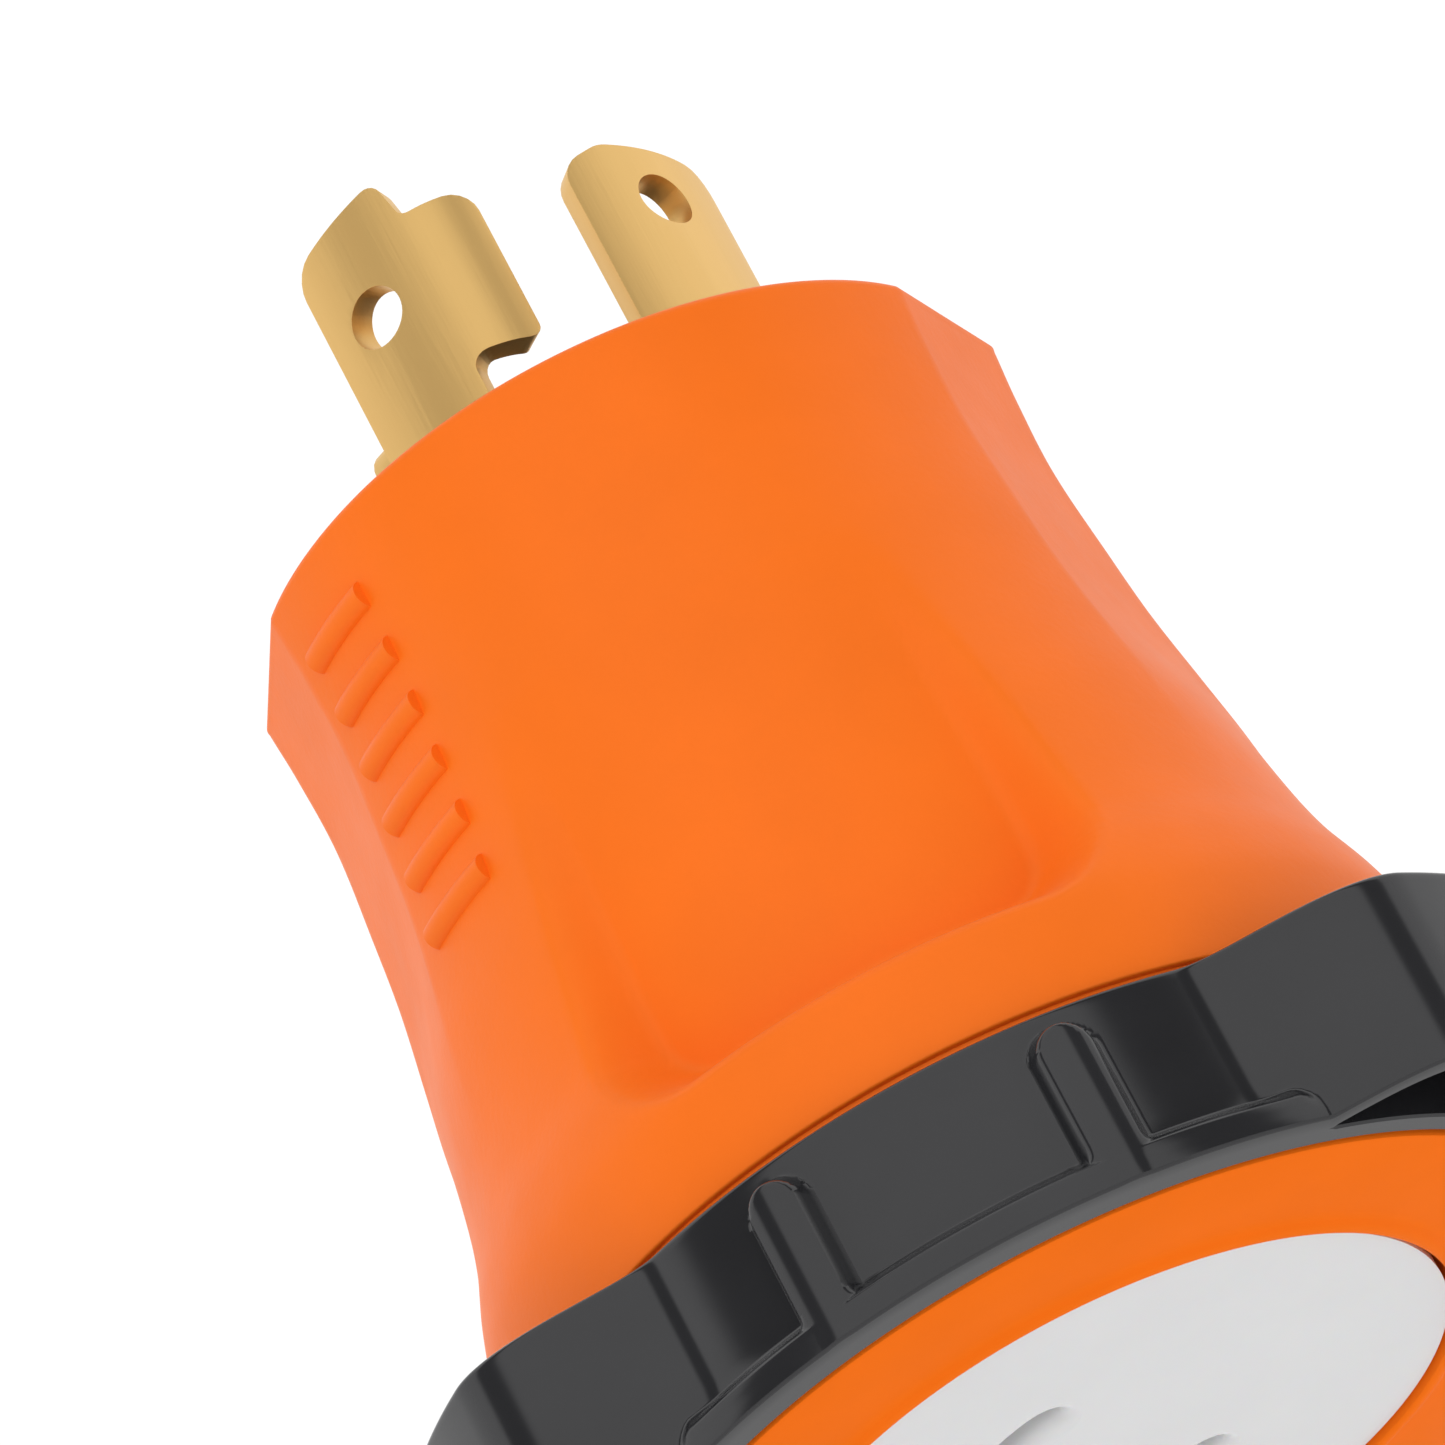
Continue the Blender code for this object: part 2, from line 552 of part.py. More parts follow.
def make_socket():
    """The white face with its slots, and the carrier behind it that holds the contacts."""
    face = turned("socket_face", (
        (0, SOCKET_TOP), (INSERT_RADIUS, SOCKET_TOP), (INSERT_RADIUS, SPIGOT_TOP + GAP),
        (SOCKET_RADIUS, SPIGOT_TOP + GAP), (SOCKET_RADIUS, 0), (0, 0),
    ), PARTS, WHITE, steps=48)
    cuts = []
    for _, angle, *_ in CONTACTS:
        start, end = angle - SLOT_HALF, angle + SLOT_HALF
        cuts.append(extruded("funnel", [slot_outline(SLOT_CIRCLE, SLOT_WIDTH + 2 * FUNNEL, start, end)],
                             -OVER, FUNNEL, CUTTERS))
        cuts.append(extruded("slot", [slot_outline(SLOT_CIRCLE, SLOT_WIDTH, start + 1, end - 1)],
                             FUNNEL / 2, SOCKET_TOP + OVER, CUTTERS))
    cuts += [carrier_screw(i, CUTTERS, "screw_hole") for i in range(3)]
    combine(face, cuts, "DIFFERENCE")

    carrier = turned("contact_carrier", (
        (0, CARRIER_TOP), (INSERT_RADIUS, CARRIER_TOP), (INSERT_RADIUS, CARRIER_BOTTOM),
        (0, CARRIER_BOTTOM),
    ), PARTS, BLACK_INSULATOR, steps=36)
    posts = [
        turned("post", ((0, CARRIER_TOP + POST_LENGTH), (POST_RADIUS, CARRIER_TOP + POST_LENGTH),
                        (POST_RADIUS, CARRIER_TOP - OVER), (0, CARRIER_TOP - OVER)),
               CUTTERS, steps=12, place=Matrix.Translation(around(POST_CIRCLE, angle)))
        for angle in POST_ANGLES
    ]
    combine(carrier, posts, "UNION")
    half = CONTACT_WIDTH / 2 + GAP
    slack = math.degrees(GAP / SLOT_CIRCLE) + 1.0
    pockets = [
        extruded("pocket", [sector(SLOT_CIRCLE - half, SLOT_CIRCLE + half,
                                   angle - CONTACT_HALF - slack, angle + CONTACT_HALF + slack)],
                 CARRIER_BOTTOM - OVER, CARRIER_TOP + OVER, CUTTERS)
        for _, angle, *_ in CONTACTS
    ]
    pockets += [carrier_screw(i, CUTTERS, "screw_hole") for i in range(3)]
    combine(carrier, pockets, "DIFFERENCE")


def screw(name, collection, place, radius, length, head_radius, head_height):
    """A screw along +Z from its head's face, or, among the cutters, the hole that it goes in."""
    hole = collection is CUTTERS
    slack = GAP if hole else 0.0
    open_end = OVER if hole else 0.0
    return turned(name, (
        (0, length + slack), (0.6 * radius + slack, length + slack),
        (radius + slack, length - 0.6 * radius + slack), (radius + slack, head_height + slack),
        (head_radius + slack, head_height + slack), (head_radius + slack, -open_end), (0, -open_end),
    ), collection, None if hole else STEEL, steps=12, place=place)


def facing_down(circle_radius, angle, height):
    """A place from which a screw goes down."""
    return Matrix.Translation(around(circle_radius, angle, height)) @ Matrix.Rotation(math.pi, 4, "X")


def carrier_screw(index, collection, name):
    """One of the screws, or its hole, from the carrier's back into the socket face."""
    place = facing_down(CARRIER_SCREW_CIRCLE, CARRIER_SCREW_ANGLE + 120 * index, CARRIER_TOP - GAP)
    return screw(name, collection, place, CARRIER_SCREW_RADIUS, CARRIER_SCREW_LENGTH,
                 CARRIER_HEAD_RADIUS, CARRIER_HEAD_HEIGHT)


def plug_screw(index, collection, name):
    """One of the screws, or its hole, from the plug face through the retainer to the grip's ledge."""
    place = facing_down(PLUG_SCREW_CIRCLE, PLUG_SCREW_ANGLE + 120 * index, PLUG_TOP - GAP)
    return screw(name, collection, place, PLUG_SCREW_RADIUS, PLUG_SCREW_LENGTH,
                 PLUG_HEAD_RADIUS, PLUG_HEAD_HEIGHT)


def cross_recess(target, centre, size, depth):
    """Cuts a cross into the head of a screw that goes down."""
    for k in range(2):
        mesh = bpy.data.meshes.new("recess")
        work = bmesh.new()
        bmesh.ops.create_cube(work, size=1.0)
        bmesh.ops.scale(work, vec=(size, size / 4, 2 * depth), verts=work.verts)
        bmesh.ops.rotate(work, matrix=Matrix.Rotation(math.pi / 2 * k, 3, "Z"), verts=work.verts)
        bmesh.ops.translate(work, vec=centre, verts=work.verts)
        work.to_mesh(mesh)
        work.free()
        combine(target, [link("recess", mesh, CUTTERS)], "DIFFERENCE")


def make_contacts():
    """Three arc-shaped spring contacts, each with a terminal screw beside its lead."""
    half = CONTACT_WIDTH / 2
    for i, (name, angle, lead_side, *_) in enumerate(CONTACTS):
        contact = extruded(name, [sector(SLOT_CIRCLE - half, SLOT_CIRCLE + half,
                                         angle - CONTACT_HALF, angle + CONTACT_HALF)],
                           CONTACT_BOTTOM, CONTACT_TOP, PARTS, BRASS)
        mouth_half = SLOT_WIDTH / 2 - GAP
        reach = CONTACT_HALF + MOUTH_MARGIN
        mouth = extruded("mouth", [sector(SLOT_CIRCLE - mouth_half, SLOT_CIRCLE + mouth_half,
                                          angle - reach, angle + reach)],
                         CONTACT_BOTTOM - OVER, CONTACT_BOTTOM + CONTACT_GRIP, CUTTERS)
        at = around(SLOT_CIRCLE, angle - lead_side * TERMINAL_OFFSET)
        bottom = CONTACT_TOP - CONTACT_SCREW_LENGTH
        hole = turned("hole", (
            (0, CONTACT_TOP + OVER), (CONTACT_SCREW_RADIUS + GAP, CONTACT_TOP + OVER),
            (CONTACT_SCREW_RADIUS + GAP, bottom), (0, bottom),
        ), CUTTERS, steps=12, place=Matrix.Translation(at))
        combine(contact, [mouth, hole], "DIFFERENCE")

        head_bottom = CONTACT_TOP + GAP
        head_top = head_bottom + CONTACT_HEAD_HEIGHT
        turned(f"contact_screw_{i + 1}", (
            (0, head_top), (CONTACT_HEAD_RADIUS, head_top),
            (CONTACT_HEAD_RADIUS, head_bottom), (CONTACT_SCREW_RADIUS, head_bottom),
            (CONTACT_SCREW_RADIUS, bottom + GAP), (0, bottom + GAP),
        ), PARTS, STEEL, steps=12, place=Matrix.Translation(at))


def make_carrier_screws():
    """The screws that hold the socket face to the contact carrier."""
    for i in range(3):
        carrier_screw(i, PARTS, f"carrier_screw_{i + 1}")


# --- locking ring ---------------------------------------------------------------------------


def lobe_radius(angle, valley, peak):
    """The ring's outline: three lobes that rise smoothly out of a round valley."""
    pitch = 360.0 / RING_LOBES
    away = abs((angle - RING_LOBE_ANGLE + pitch / 2) % pitch - pitch / 2)
    return valley + (peak - valley) * (1 - smoothstep(RING_LOBE_FLAT, RING_LOBE_FOOT, away))


def make_ring():
    """The locking ring: lobes hollow from the front, a front ledge, finger ribs and an inner lip."""
    count = 72
    outline = [around(lobe_radius(a, RING_VALLEY_RADIUS, RING_LOBE_RADIUS), a).xy
               for a in (360.0 * i / count for i in range(count))]
    ring = extruded("locking_ring", [outline], FLANGE_Z, RING_TOP, PARTS, BLACK)
    ledge_top = FLANGE_Z + RING_LEDGE_HEIGHT
    ledge = turned("ledge", (
        (0, ledge_top), (RING_LEDGE_RADIUS, ledge_top), (RING_LEDGE_RADIUS, FLANGE_Z + LEDGE_SETBACK),
        (0, FLANGE_Z + LEDGE_SETBACK),
    ), CUTTERS, steps=48)
    ribs = []
    for lobe in range(RING_LOBES):
        valley = RING_LOBE_ANGLE + (lobe + 0.5) * 360.0 / RING_LOBES
        ribs += [finger_rib(valley + side * FINGER_RIB_ANGLE) for side in (-1, 1)]
    combine(ring, [ledge, *ribs], "UNION")

    bore = turned("ring_bore", (
        (0, RING_TOP + OVER), (RING_LIP_RADIUS, RING_TOP + OVER), (RING_LIP_RADIUS, RING_TOP - RING_LIP),
        (RING_BORE, RING_TOP - RING_LIP), (RING_BORE, FLANGE_Z - OVER), (0, FLANGE_Z - OVER),
    ), CUTTERS, steps=48)
    hollows = []
    inner = RING_BORE + LOBE_WALL
    reach = RING_LOBE_FOOT - LOBE_HOLLOW_MARGIN
    steps = 10
    for lobe in range(RING_LOBES):
        middle = RING_LOBE_ANGLE + lobe * 360.0 / RING_LOBES
        angles = [middle - reach + 2 * reach * i / steps for i in range(steps + 1)]
        outer = [around(max(lobe_radius(a, RING_VALLEY_RADIUS, RING_LOBE_RADIUS) - LOBE_WALL,
                            inner + LOBE_HOLLOW_MIN), a).xy for a in angles]
        back = [around(inner, a).xy for a in reversed(angles)]
        hollows.append(extruded("hollow", [outer + back], FLANGE_Z - OVER, RING_TOP - LOBE_BACK, CUTTERS))
    combine(ring, [bore, *hollows], "DIFFERENCE")


def finger_rib(angle):
    """A raised rib with a round top on the ring's outside, as deep as the ledge is."""
    half = FINGER_RIB_WIDTH / 2
    top = FLANGE_Z + FINGER_RIB_HEIGHT
    foot = FLANGE_Z + RING_LEDGE_HEIGHT / 2
    outline = rounded((
        (-half, foot, 0), (half, foot, 0), (half, top, half * 0.98), (-half, top, half * 0.98),
    ))
    outside = RING_LEDGE_RADIUS + LEDGE_SETBACK
    depth = outside - RING_VALLEY_RADIUS + 1 * MM
    rib = extruded("finger_rib", [outline], -depth / 2, depth / 2, CUTTERS)
    rib.data.transform(
        Matrix.Rotation(math.radians(angle), 4, "Z")
        @ Matrix.Translation((outside - depth / 2, 0, 0))
        @ Matrix(((0, 0, 1, 0), (1, 0, 0, 0), (0, 1, 0, 0), (0, 0, 0, 1)))
    )
    return rib


def make_washer():
    """The slip washer in front of the ring's lip, which bears on the collar when the ring pulls."""
    outer, inner = RING_BORE - GAP, NECK_RADIUS + RING_LIP_CLEARANCE
    turned("slip_washer", (
        (outer, WASHER_TOP), (outer, WASHER_TOP - WASHER_THICKNESS),
        (inner, WASHER_TOP - WASHER_THICKNESS), (inner, WASHER_TOP),
    ), PARTS, NYLON, steps=36)


# --- plug end -------------------------------------------------------------------------------


def bent(obj, centre_angle, hook_from=None):
    """Wraps a flat plate, x along the arc and y outwards, round the blade circle.

    Past hook_from the plate turns inwards on the hook's own, tighter bend.
    """
    work = bmesh.new()
    work.from_mesh(obj.data)
    low = min(v.co.x for v in work.verts)
    high = max(v.co.x for v in work.verts)
    cuts = 5
    for i in range(1, cuts):
        at = low + (high - low) * i / cuts
        everything = work.verts[:] + work.edges[:] + work.faces[:]
        bmesh.ops.bisect_plane(work, geom=everything, dist=1e-7, plane_co=(at, 0, 0), plane_no=(1, 0, 0))
    bmesh.ops.triangulate(work, faces=work.faces[:])
    for vert in work.verts:
        along, out, height = vert.co
        if hook_from is None or along <= hook_from:
            turn = centre_angle + math.degrees(along / BLADE_CIRCLE)
            vert.co = around(BLADE_CIRCLE + out, turn, height)
        else:
            start = centre_angle + math.degrees(hook_from / BLADE_CIRCLE)
            turn = start + math.degrees((along - hook_from) / HOOK_BEND)
            vert.co = around(BLADE_CIRCLE - HOOK_BEND, start, height) + around(HOOK_BEND + out, turn)
    work.to_mesh(obj.data)
    work.free()


def flat_plate(name, outlines, thickness, collection, material=None):
    """A plate standing in the XZ plane, centred on y = 0. It is mirrored, which bent() sets right."""
    plate = extruded(name, outlines, -thickness / 2, thickness / 2, collection, material)
    plate.data.transform(Matrix(((1, 0, 0, 0), (0, 0, 1, 0), (0, 1, 0, 0), (0, 0, 0, 1))))
    return plate


def blade_slot(angle, width, hook, low, high):
    """The cutter for a blade's way through an insert, with clearance all round."""
    half = width / 2 + BLADE_SLOT_CLEARANCE
    right = half + (hook if hook else 0)
    cutter = flat_plate("blade_slot", [[(-half, low), (right, low), (right, high), (-half, high)]],
                        BLADE_THICKNESS + 2 * BLADE_SLOT_CLEARANCE, CUTTERS)
    bent(cutter, angle, width / 2 if hook else None)
    return cutter


BLADES = (
    # name, angle, width, height above the plug face, hooked
    ("ground_blade", GROUND_BLADE_ANGLE, GROUND_BLADE_WIDTH, GROUND_BLADE_HEIGHT, True),
    ("line_blade", LINE_BLADE_ANGLE, LIVE_BLADE_WIDTH, BLADE_HEIGHT, False),
    ("neutral_blade", NEUTRAL_BLADE_ANGLE, LIVE_BLADE_WIDTH, BLADE_HEIGHT, False),
)


def make_blades():
    """The three curved blades, each with a locking hole, ears in the retainer and a tail."""
    for name, angle, width, height, hooked in BLADES:
        half = width / 2
        ear = half + BLADE_EAR
        tip = PLUG_TOP + height
        ear_top = RETAINER_TOP - GAP
        ear_bottom = RETAINER_BOTTOM + BLADE_EAR_INSET
        tail_half = half - BLADE_TAIL_INSET
        corners = [
            (-tail_half, TAIL_BOTTOM, TAIL_CORNER), (tail_half, TAIL_BOTTOM, TAIL_CORNER),
            (tail_half, ear_bottom, 0), (ear, ear_bottom, 0), (ear, ear_top, 0), (half, ear_top, 0),
        ]
        if hooked:
            hook = half + HOOK_LENGTH
            step = tip - HOOK_STEP
            notch = PLUG_TOP + HOOK_BOTTOM
            corners += [
                (half, notch, HOOK_CORNER), (hook, notch - HOOK_DROP, HOOK_CORNER), (hook, step, HOOK_SHOULDER),
                (half + STEP_LEAN / 2, step, STEP_CORNER), (half - STEP_LEAN, tip, HOOK_CORNER),
            ]
        else:
            corners.append((half, tip - TIP_DROP, TIP_CORNER))
        corners += [
            (-half, tip - TIP_DROP, TIP_CORNER), (-half, ear_top, 0), (-ear, ear_top, 0),
            (-ear, ear_bottom, 0), (-tail_half, ear_bottom, 0),
        ]
        if not hooked:
            corners.insert(7, (-half + TIP_SLANT, tip, TIP_CORNER))
        holes = [
            circle(0, PLUG_TOP + BLADE_HOLE_HEIGHT, BLADE_HOLE_RADIUS, 14),
            circle(0, terminal_height(), TERMINAL_SCREW_RADIUS + GAP, 12),
        ]
        blade = flat_plate(name, [rounded(corners), *holes], BLADE_THICKNESS, PARTS, BRASS)
        bent(blade, angle, half if hooked else None)


def terminal_height():
    """The height of the terminal screws in the blades' tails."""
    return (TAIL_BOTTOM + LEDGE_BOTTOM) / 2


def make_terminal_screws():
    """The radial screws in the blades' tails, heads inwards."""
    seat = math.sqrt((BLADE_CIRCLE - BLADE_THICKNESS / 2) ** 2 - TERMINAL_HEAD_RADIUS**2)
    head_face = seat - GAP - TERMINAL_HEAD_HEIGHT
    tip = min(LEAD_CIRCLE - LEAD_RADIUS, BLADE_CIRCLE + TERMINAL_SCREW_REACH)
    for i, (_, angle, *_) in enumerate(BLADES):
        place = (
            Matrix.Rotation(math.radians(angle), 4, "Z")
            @ Matrix.Translation((head_face, 0, terminal_height()))
            @ Matrix.Rotation(math.pi / 2, 4, "Y")
        )
        screw(f"terminal_screw_{i + 1}", PARTS, place, TERMINAL_SCREW_RADIUS, tip - head_face,
              TERMINAL_HEAD_RADIUS, TERMINAL_HEAD_HEIGHT)


def make_plug():
    """The plug face and the retainer behind it, which hold the blades between them."""
    inserts = (
        ("plug_face", PLUG_BOTTOM, PLUG_TOP, 0.0, BLACK_INSULATOR),
        ("blade_retainer", RETAINER_BOTTOM, RETAINER_TOP, BLADE_EAR, BLACK_INSULATOR),
    )
    for name, low, high, ear, material in inserts:
        insert = turned(name, ((0, high), (PLUG_RADIUS, high), (PLUG_RADIUS, low), (0, low)),
                        PARTS, material, steps=40)
        cuts = [
            blade_slot(angle, width + 2 * ear, HOOK_LENGTH if hooked and not ear else 0,
                       low - OVER, high + OVER)
            for _, angle, width, _, hooked in BLADES
        ]
        cuts += [plug_screw(i, CUTTERS, "screw_hole") for i in range(3)]
        combine(insert, cuts, "DIFFERENCE")
    for i in range(3):
        fixing = plug_screw(i, PARTS, f"plug_screw_{i + 1}")
        head = around(PLUG_SCREW_CIRCLE, PLUG_SCREW_ANGLE + 120 * i, PLUG_TOP - GAP)
        cross_recess(fixing, head, PLUG_RECESS_SIZE, PLUG_RECESS_DEPTH)


# --- surge board and wiring -----------------------------------------------------------------


def make_surge_board():
    """The board on the carrier's posts, with three varistors and a thermal fuse."""
    turned("surge_board", ((0, BOARD_TOP), (BOARD_RADIUS, BOARD_TOP), (BOARD_RADIUS, BOARD_BOTTOM),
                           (0, BOARD_BOTTOM)), PARTS, BOARD_GREEN, steps=40)
    edge = VARISTOR_EDGE
    half = VARISTOR_THICKNESS / 2
    centre = BOARD_TOP + GAP + VARISTOR_RADIUS
    for i in range(3):
        place = (
            Matrix.Rotation(math.radians(VARISTOR_ANGLE + 120 * i), 4, "Z")
            @ Matrix.Translation((VARISTOR_CIRCLE, 0, centre))
            @ Matrix.Rotation(math.pi / 2, 4, "Y")
        )
        turned(f"varistor_{i + 1}", (
            (0, half), (VARISTOR_RADIUS - edge, half), (VARISTOR_RADIUS, half - edge),
            (VARISTOR_RADIUS, edge - half), (VARISTOR_RADIUS - edge, -half), (0, -half),
        ), PARTS, EPOXY_BLUE, steps=24, place=place)
    length = FUSE_LENGTH / 2
    place = (
        Matrix.Translation((0, 0, BOARD_TOP + GAP + FUSE_RADIUS)) @ Matrix.Rotation(math.pi / 2, 4, "X")
    )
    turned("thermal_fuse", ((0, length), (FUSE_RADIUS, length), (FUSE_RADIUS, -length), (0, -length)),
           PARTS, WHITE, steps=14, place=place)


def lead_route(start_angle, end_angle):
    """From under a blade's tail, down beside the board, in under it and down to a contact."""
    top = TAIL_BOTTOM - 3 * GAP
    under = (CARRIER_TOP + BOARD_BOTTOM) / 2
    foot = CONTACT_TOP + GAP
    turn = (end_angle - start_angle + 180) % 360 - 180
    knots = (
        around(BLADE_CIRCLE, start_angle, top),
        around(BLADE_CIRCLE, start_angle, top - 1.6 * MM),
        around(LEAD_CIRCLE, start_angle + 0.2 * turn, top - 7 * MM),
        around(LEAD_CIRCLE, start_angle + 0.8 * turn, under + 5 * MM),
        around(LEAD_CIRCLE - 1.5 * MM, end_angle, under + 0.8 * MM),
        around((SLOT_CIRCLE + LEAD_CIRCLE) / 2, end_angle, under),
        around(SLOT_CIRCLE + 0.6 * MM, end_angle, under - 1.2 * MM),
        around(SLOT_CIRCLE, end_angle, foot + 1.6 * MM),
        around(SLOT_CIRCLE, end_angle, foot),
    )
    points = []
    pieces = 3
    for i in range(len(knots) - 1):
        before = knots[max(i - 1, 0)]
        after = knots[min(i + 2, len(knots) - 1)]
        for k in range(pieces):
            t = k / pieces
            points.append(0.5 * (
                2 * knots[i] + (knots[i + 1] - before) * t
                + (2 * before - 5 * knots[i] + 4 * knots[i + 1] - after) * t**2
                + (3 * knots[i] - before - 3 * knots[i + 1] + after) * t**3
            ))
    return [*points, knots[-1]]


def make_leads():
    """The three stiff leads from the blades to the contacts."""
    blade_angles = {name: angle for name, angle, *_ in BLADES}
    sleeves = {"ground_lead": LEAD_GREEN, "neutral_lead": LEAD_WHITE, "line_lead": LEAD_BLACK}
    for _, angle, side, lead, blade in CONTACTS:
        route = lead_route(blade_angles[blade], angle + side * TERMINAL_OFFSET)
        tube(lead, route, LEAD_RADIUS, PARTS, sleeves[lead])


def main():
    """Builds every piece."""
    make_grip()
    make_collar()
    make_o_ring()
    make_socket()
    make_carrier_screws()
    make_contacts()
    make_ring()
    make_washer()
    make_blades()
    make_terminal_screws()
    make_plug()
    make_surge_board()
    make_leads()


for old in list(bpy.data.objects):
    bpy.data.objects.remove(old)
PARTS = bpy.data.collections.new("surge_protector_plug")
CUTTERS = bpy.data.collections.new("cutters")
for group in (PARTS, CUTTERS):
    bpy.context.scene.collection.children.link(group)

ORANGE = new_material("orange_grip", (0.95, 0.18, 0.02), 0.5)
BLACK = new_material("ring_black", (0.03, 0.03, 0.032), 0.25)
WHITE = new_material("socket_white", (0.75, 0.76, 0.76), 0.25)
BRASS = new_material("blade_brass", (0.72, 0.50, 0.22), 0.35, 1.0)
STEEL = new_material("screw_steel", (0.6, 0.6, 0.6), 0.35, 1.0)
RUBBER = new_material("seal_rubber", (0.02, 0.02, 0.02), 0.8)
NYLON = new_material("washer_nylon", (0.7, 0.68, 0.6), 0.5)
BLACK_INSULATOR = new_material("insulator_black", (0.04, 0.04, 0.04), 0.5)
BOARD_GREEN = new_material("board_green", (0.02, 0.22, 0.08), 0.4)
EPOXY_BLUE = new_material("varistor_blue", (0.03, 0.1, 0.45), 0.4)
LEAD_BLACK = new_material("lead_black", (0.02, 0.02, 0.02), 0.5)
LEAD_WHITE = new_material("lead_white", (0.7, 0.7, 0.7), 0.5)
LEAD_GREEN = new_material("lead_green", (0.02, 0.3, 0.07), 0.5)

main()
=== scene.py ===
"""The looks of a locking plug adapter with a moulded grip and a captive locking ring.

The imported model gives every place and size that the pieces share; this script makes the fine
surfaces around it. All sizes are in metres. Angles are in degrees about +Z, from +X towards +Y.
"""

from __future__ import annotations

import logging
import math
from contextlib import contextmanager
from dataclasses import dataclass, field, replace
from enum import Enum
from functools import partial
from typing import Callable, Iterator, Sequence

import bmesh
import bpy
from mathutils import Matrix, Vector

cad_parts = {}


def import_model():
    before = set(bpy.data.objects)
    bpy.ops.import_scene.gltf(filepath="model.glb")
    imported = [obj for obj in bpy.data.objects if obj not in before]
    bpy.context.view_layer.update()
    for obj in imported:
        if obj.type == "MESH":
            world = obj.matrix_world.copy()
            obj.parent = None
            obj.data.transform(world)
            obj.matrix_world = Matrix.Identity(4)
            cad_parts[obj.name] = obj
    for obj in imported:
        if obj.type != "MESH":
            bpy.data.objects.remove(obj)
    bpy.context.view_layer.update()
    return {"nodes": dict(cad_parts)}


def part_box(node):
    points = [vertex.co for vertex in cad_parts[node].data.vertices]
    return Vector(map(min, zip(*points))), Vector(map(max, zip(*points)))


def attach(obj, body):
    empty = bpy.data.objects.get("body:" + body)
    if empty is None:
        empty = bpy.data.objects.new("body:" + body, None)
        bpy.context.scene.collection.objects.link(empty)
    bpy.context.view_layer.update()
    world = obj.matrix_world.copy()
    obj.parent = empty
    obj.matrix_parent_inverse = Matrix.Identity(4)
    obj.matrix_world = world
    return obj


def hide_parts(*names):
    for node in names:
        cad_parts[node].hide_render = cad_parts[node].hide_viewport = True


MM = 0.001
GAP = 0.3 * MM  # between pieces that touch
BREAK = 0.2 * MM  # the bevel on hidden edges
EDGE = 0.3 * MM  # the bevel on the edges of bores
RING_CLEARANCE = 0.4 * MM  # between the ring and what it slides on, and behind it
LIP_CLEARANCE = 0.5 * MM  # between the ring's back lip and the neck
LOG = logging.getLogger("adapter")

Point2 = tuple[float, float]
Section = Sequence[Point2]


class Body(Enum):
    """The bodies that pieces ride on."""

    PLUG = "plug"
    WASHER = "washer"
    RING = "ring"


class Texture(Enum):
    """What kind of relief a finish carries."""

    FINE_GRAIN = "fine_grain"
    POLISHED = "polished"
    DRAWN = "drawn"


# --- finishes -------------------------------------------------------------------------------


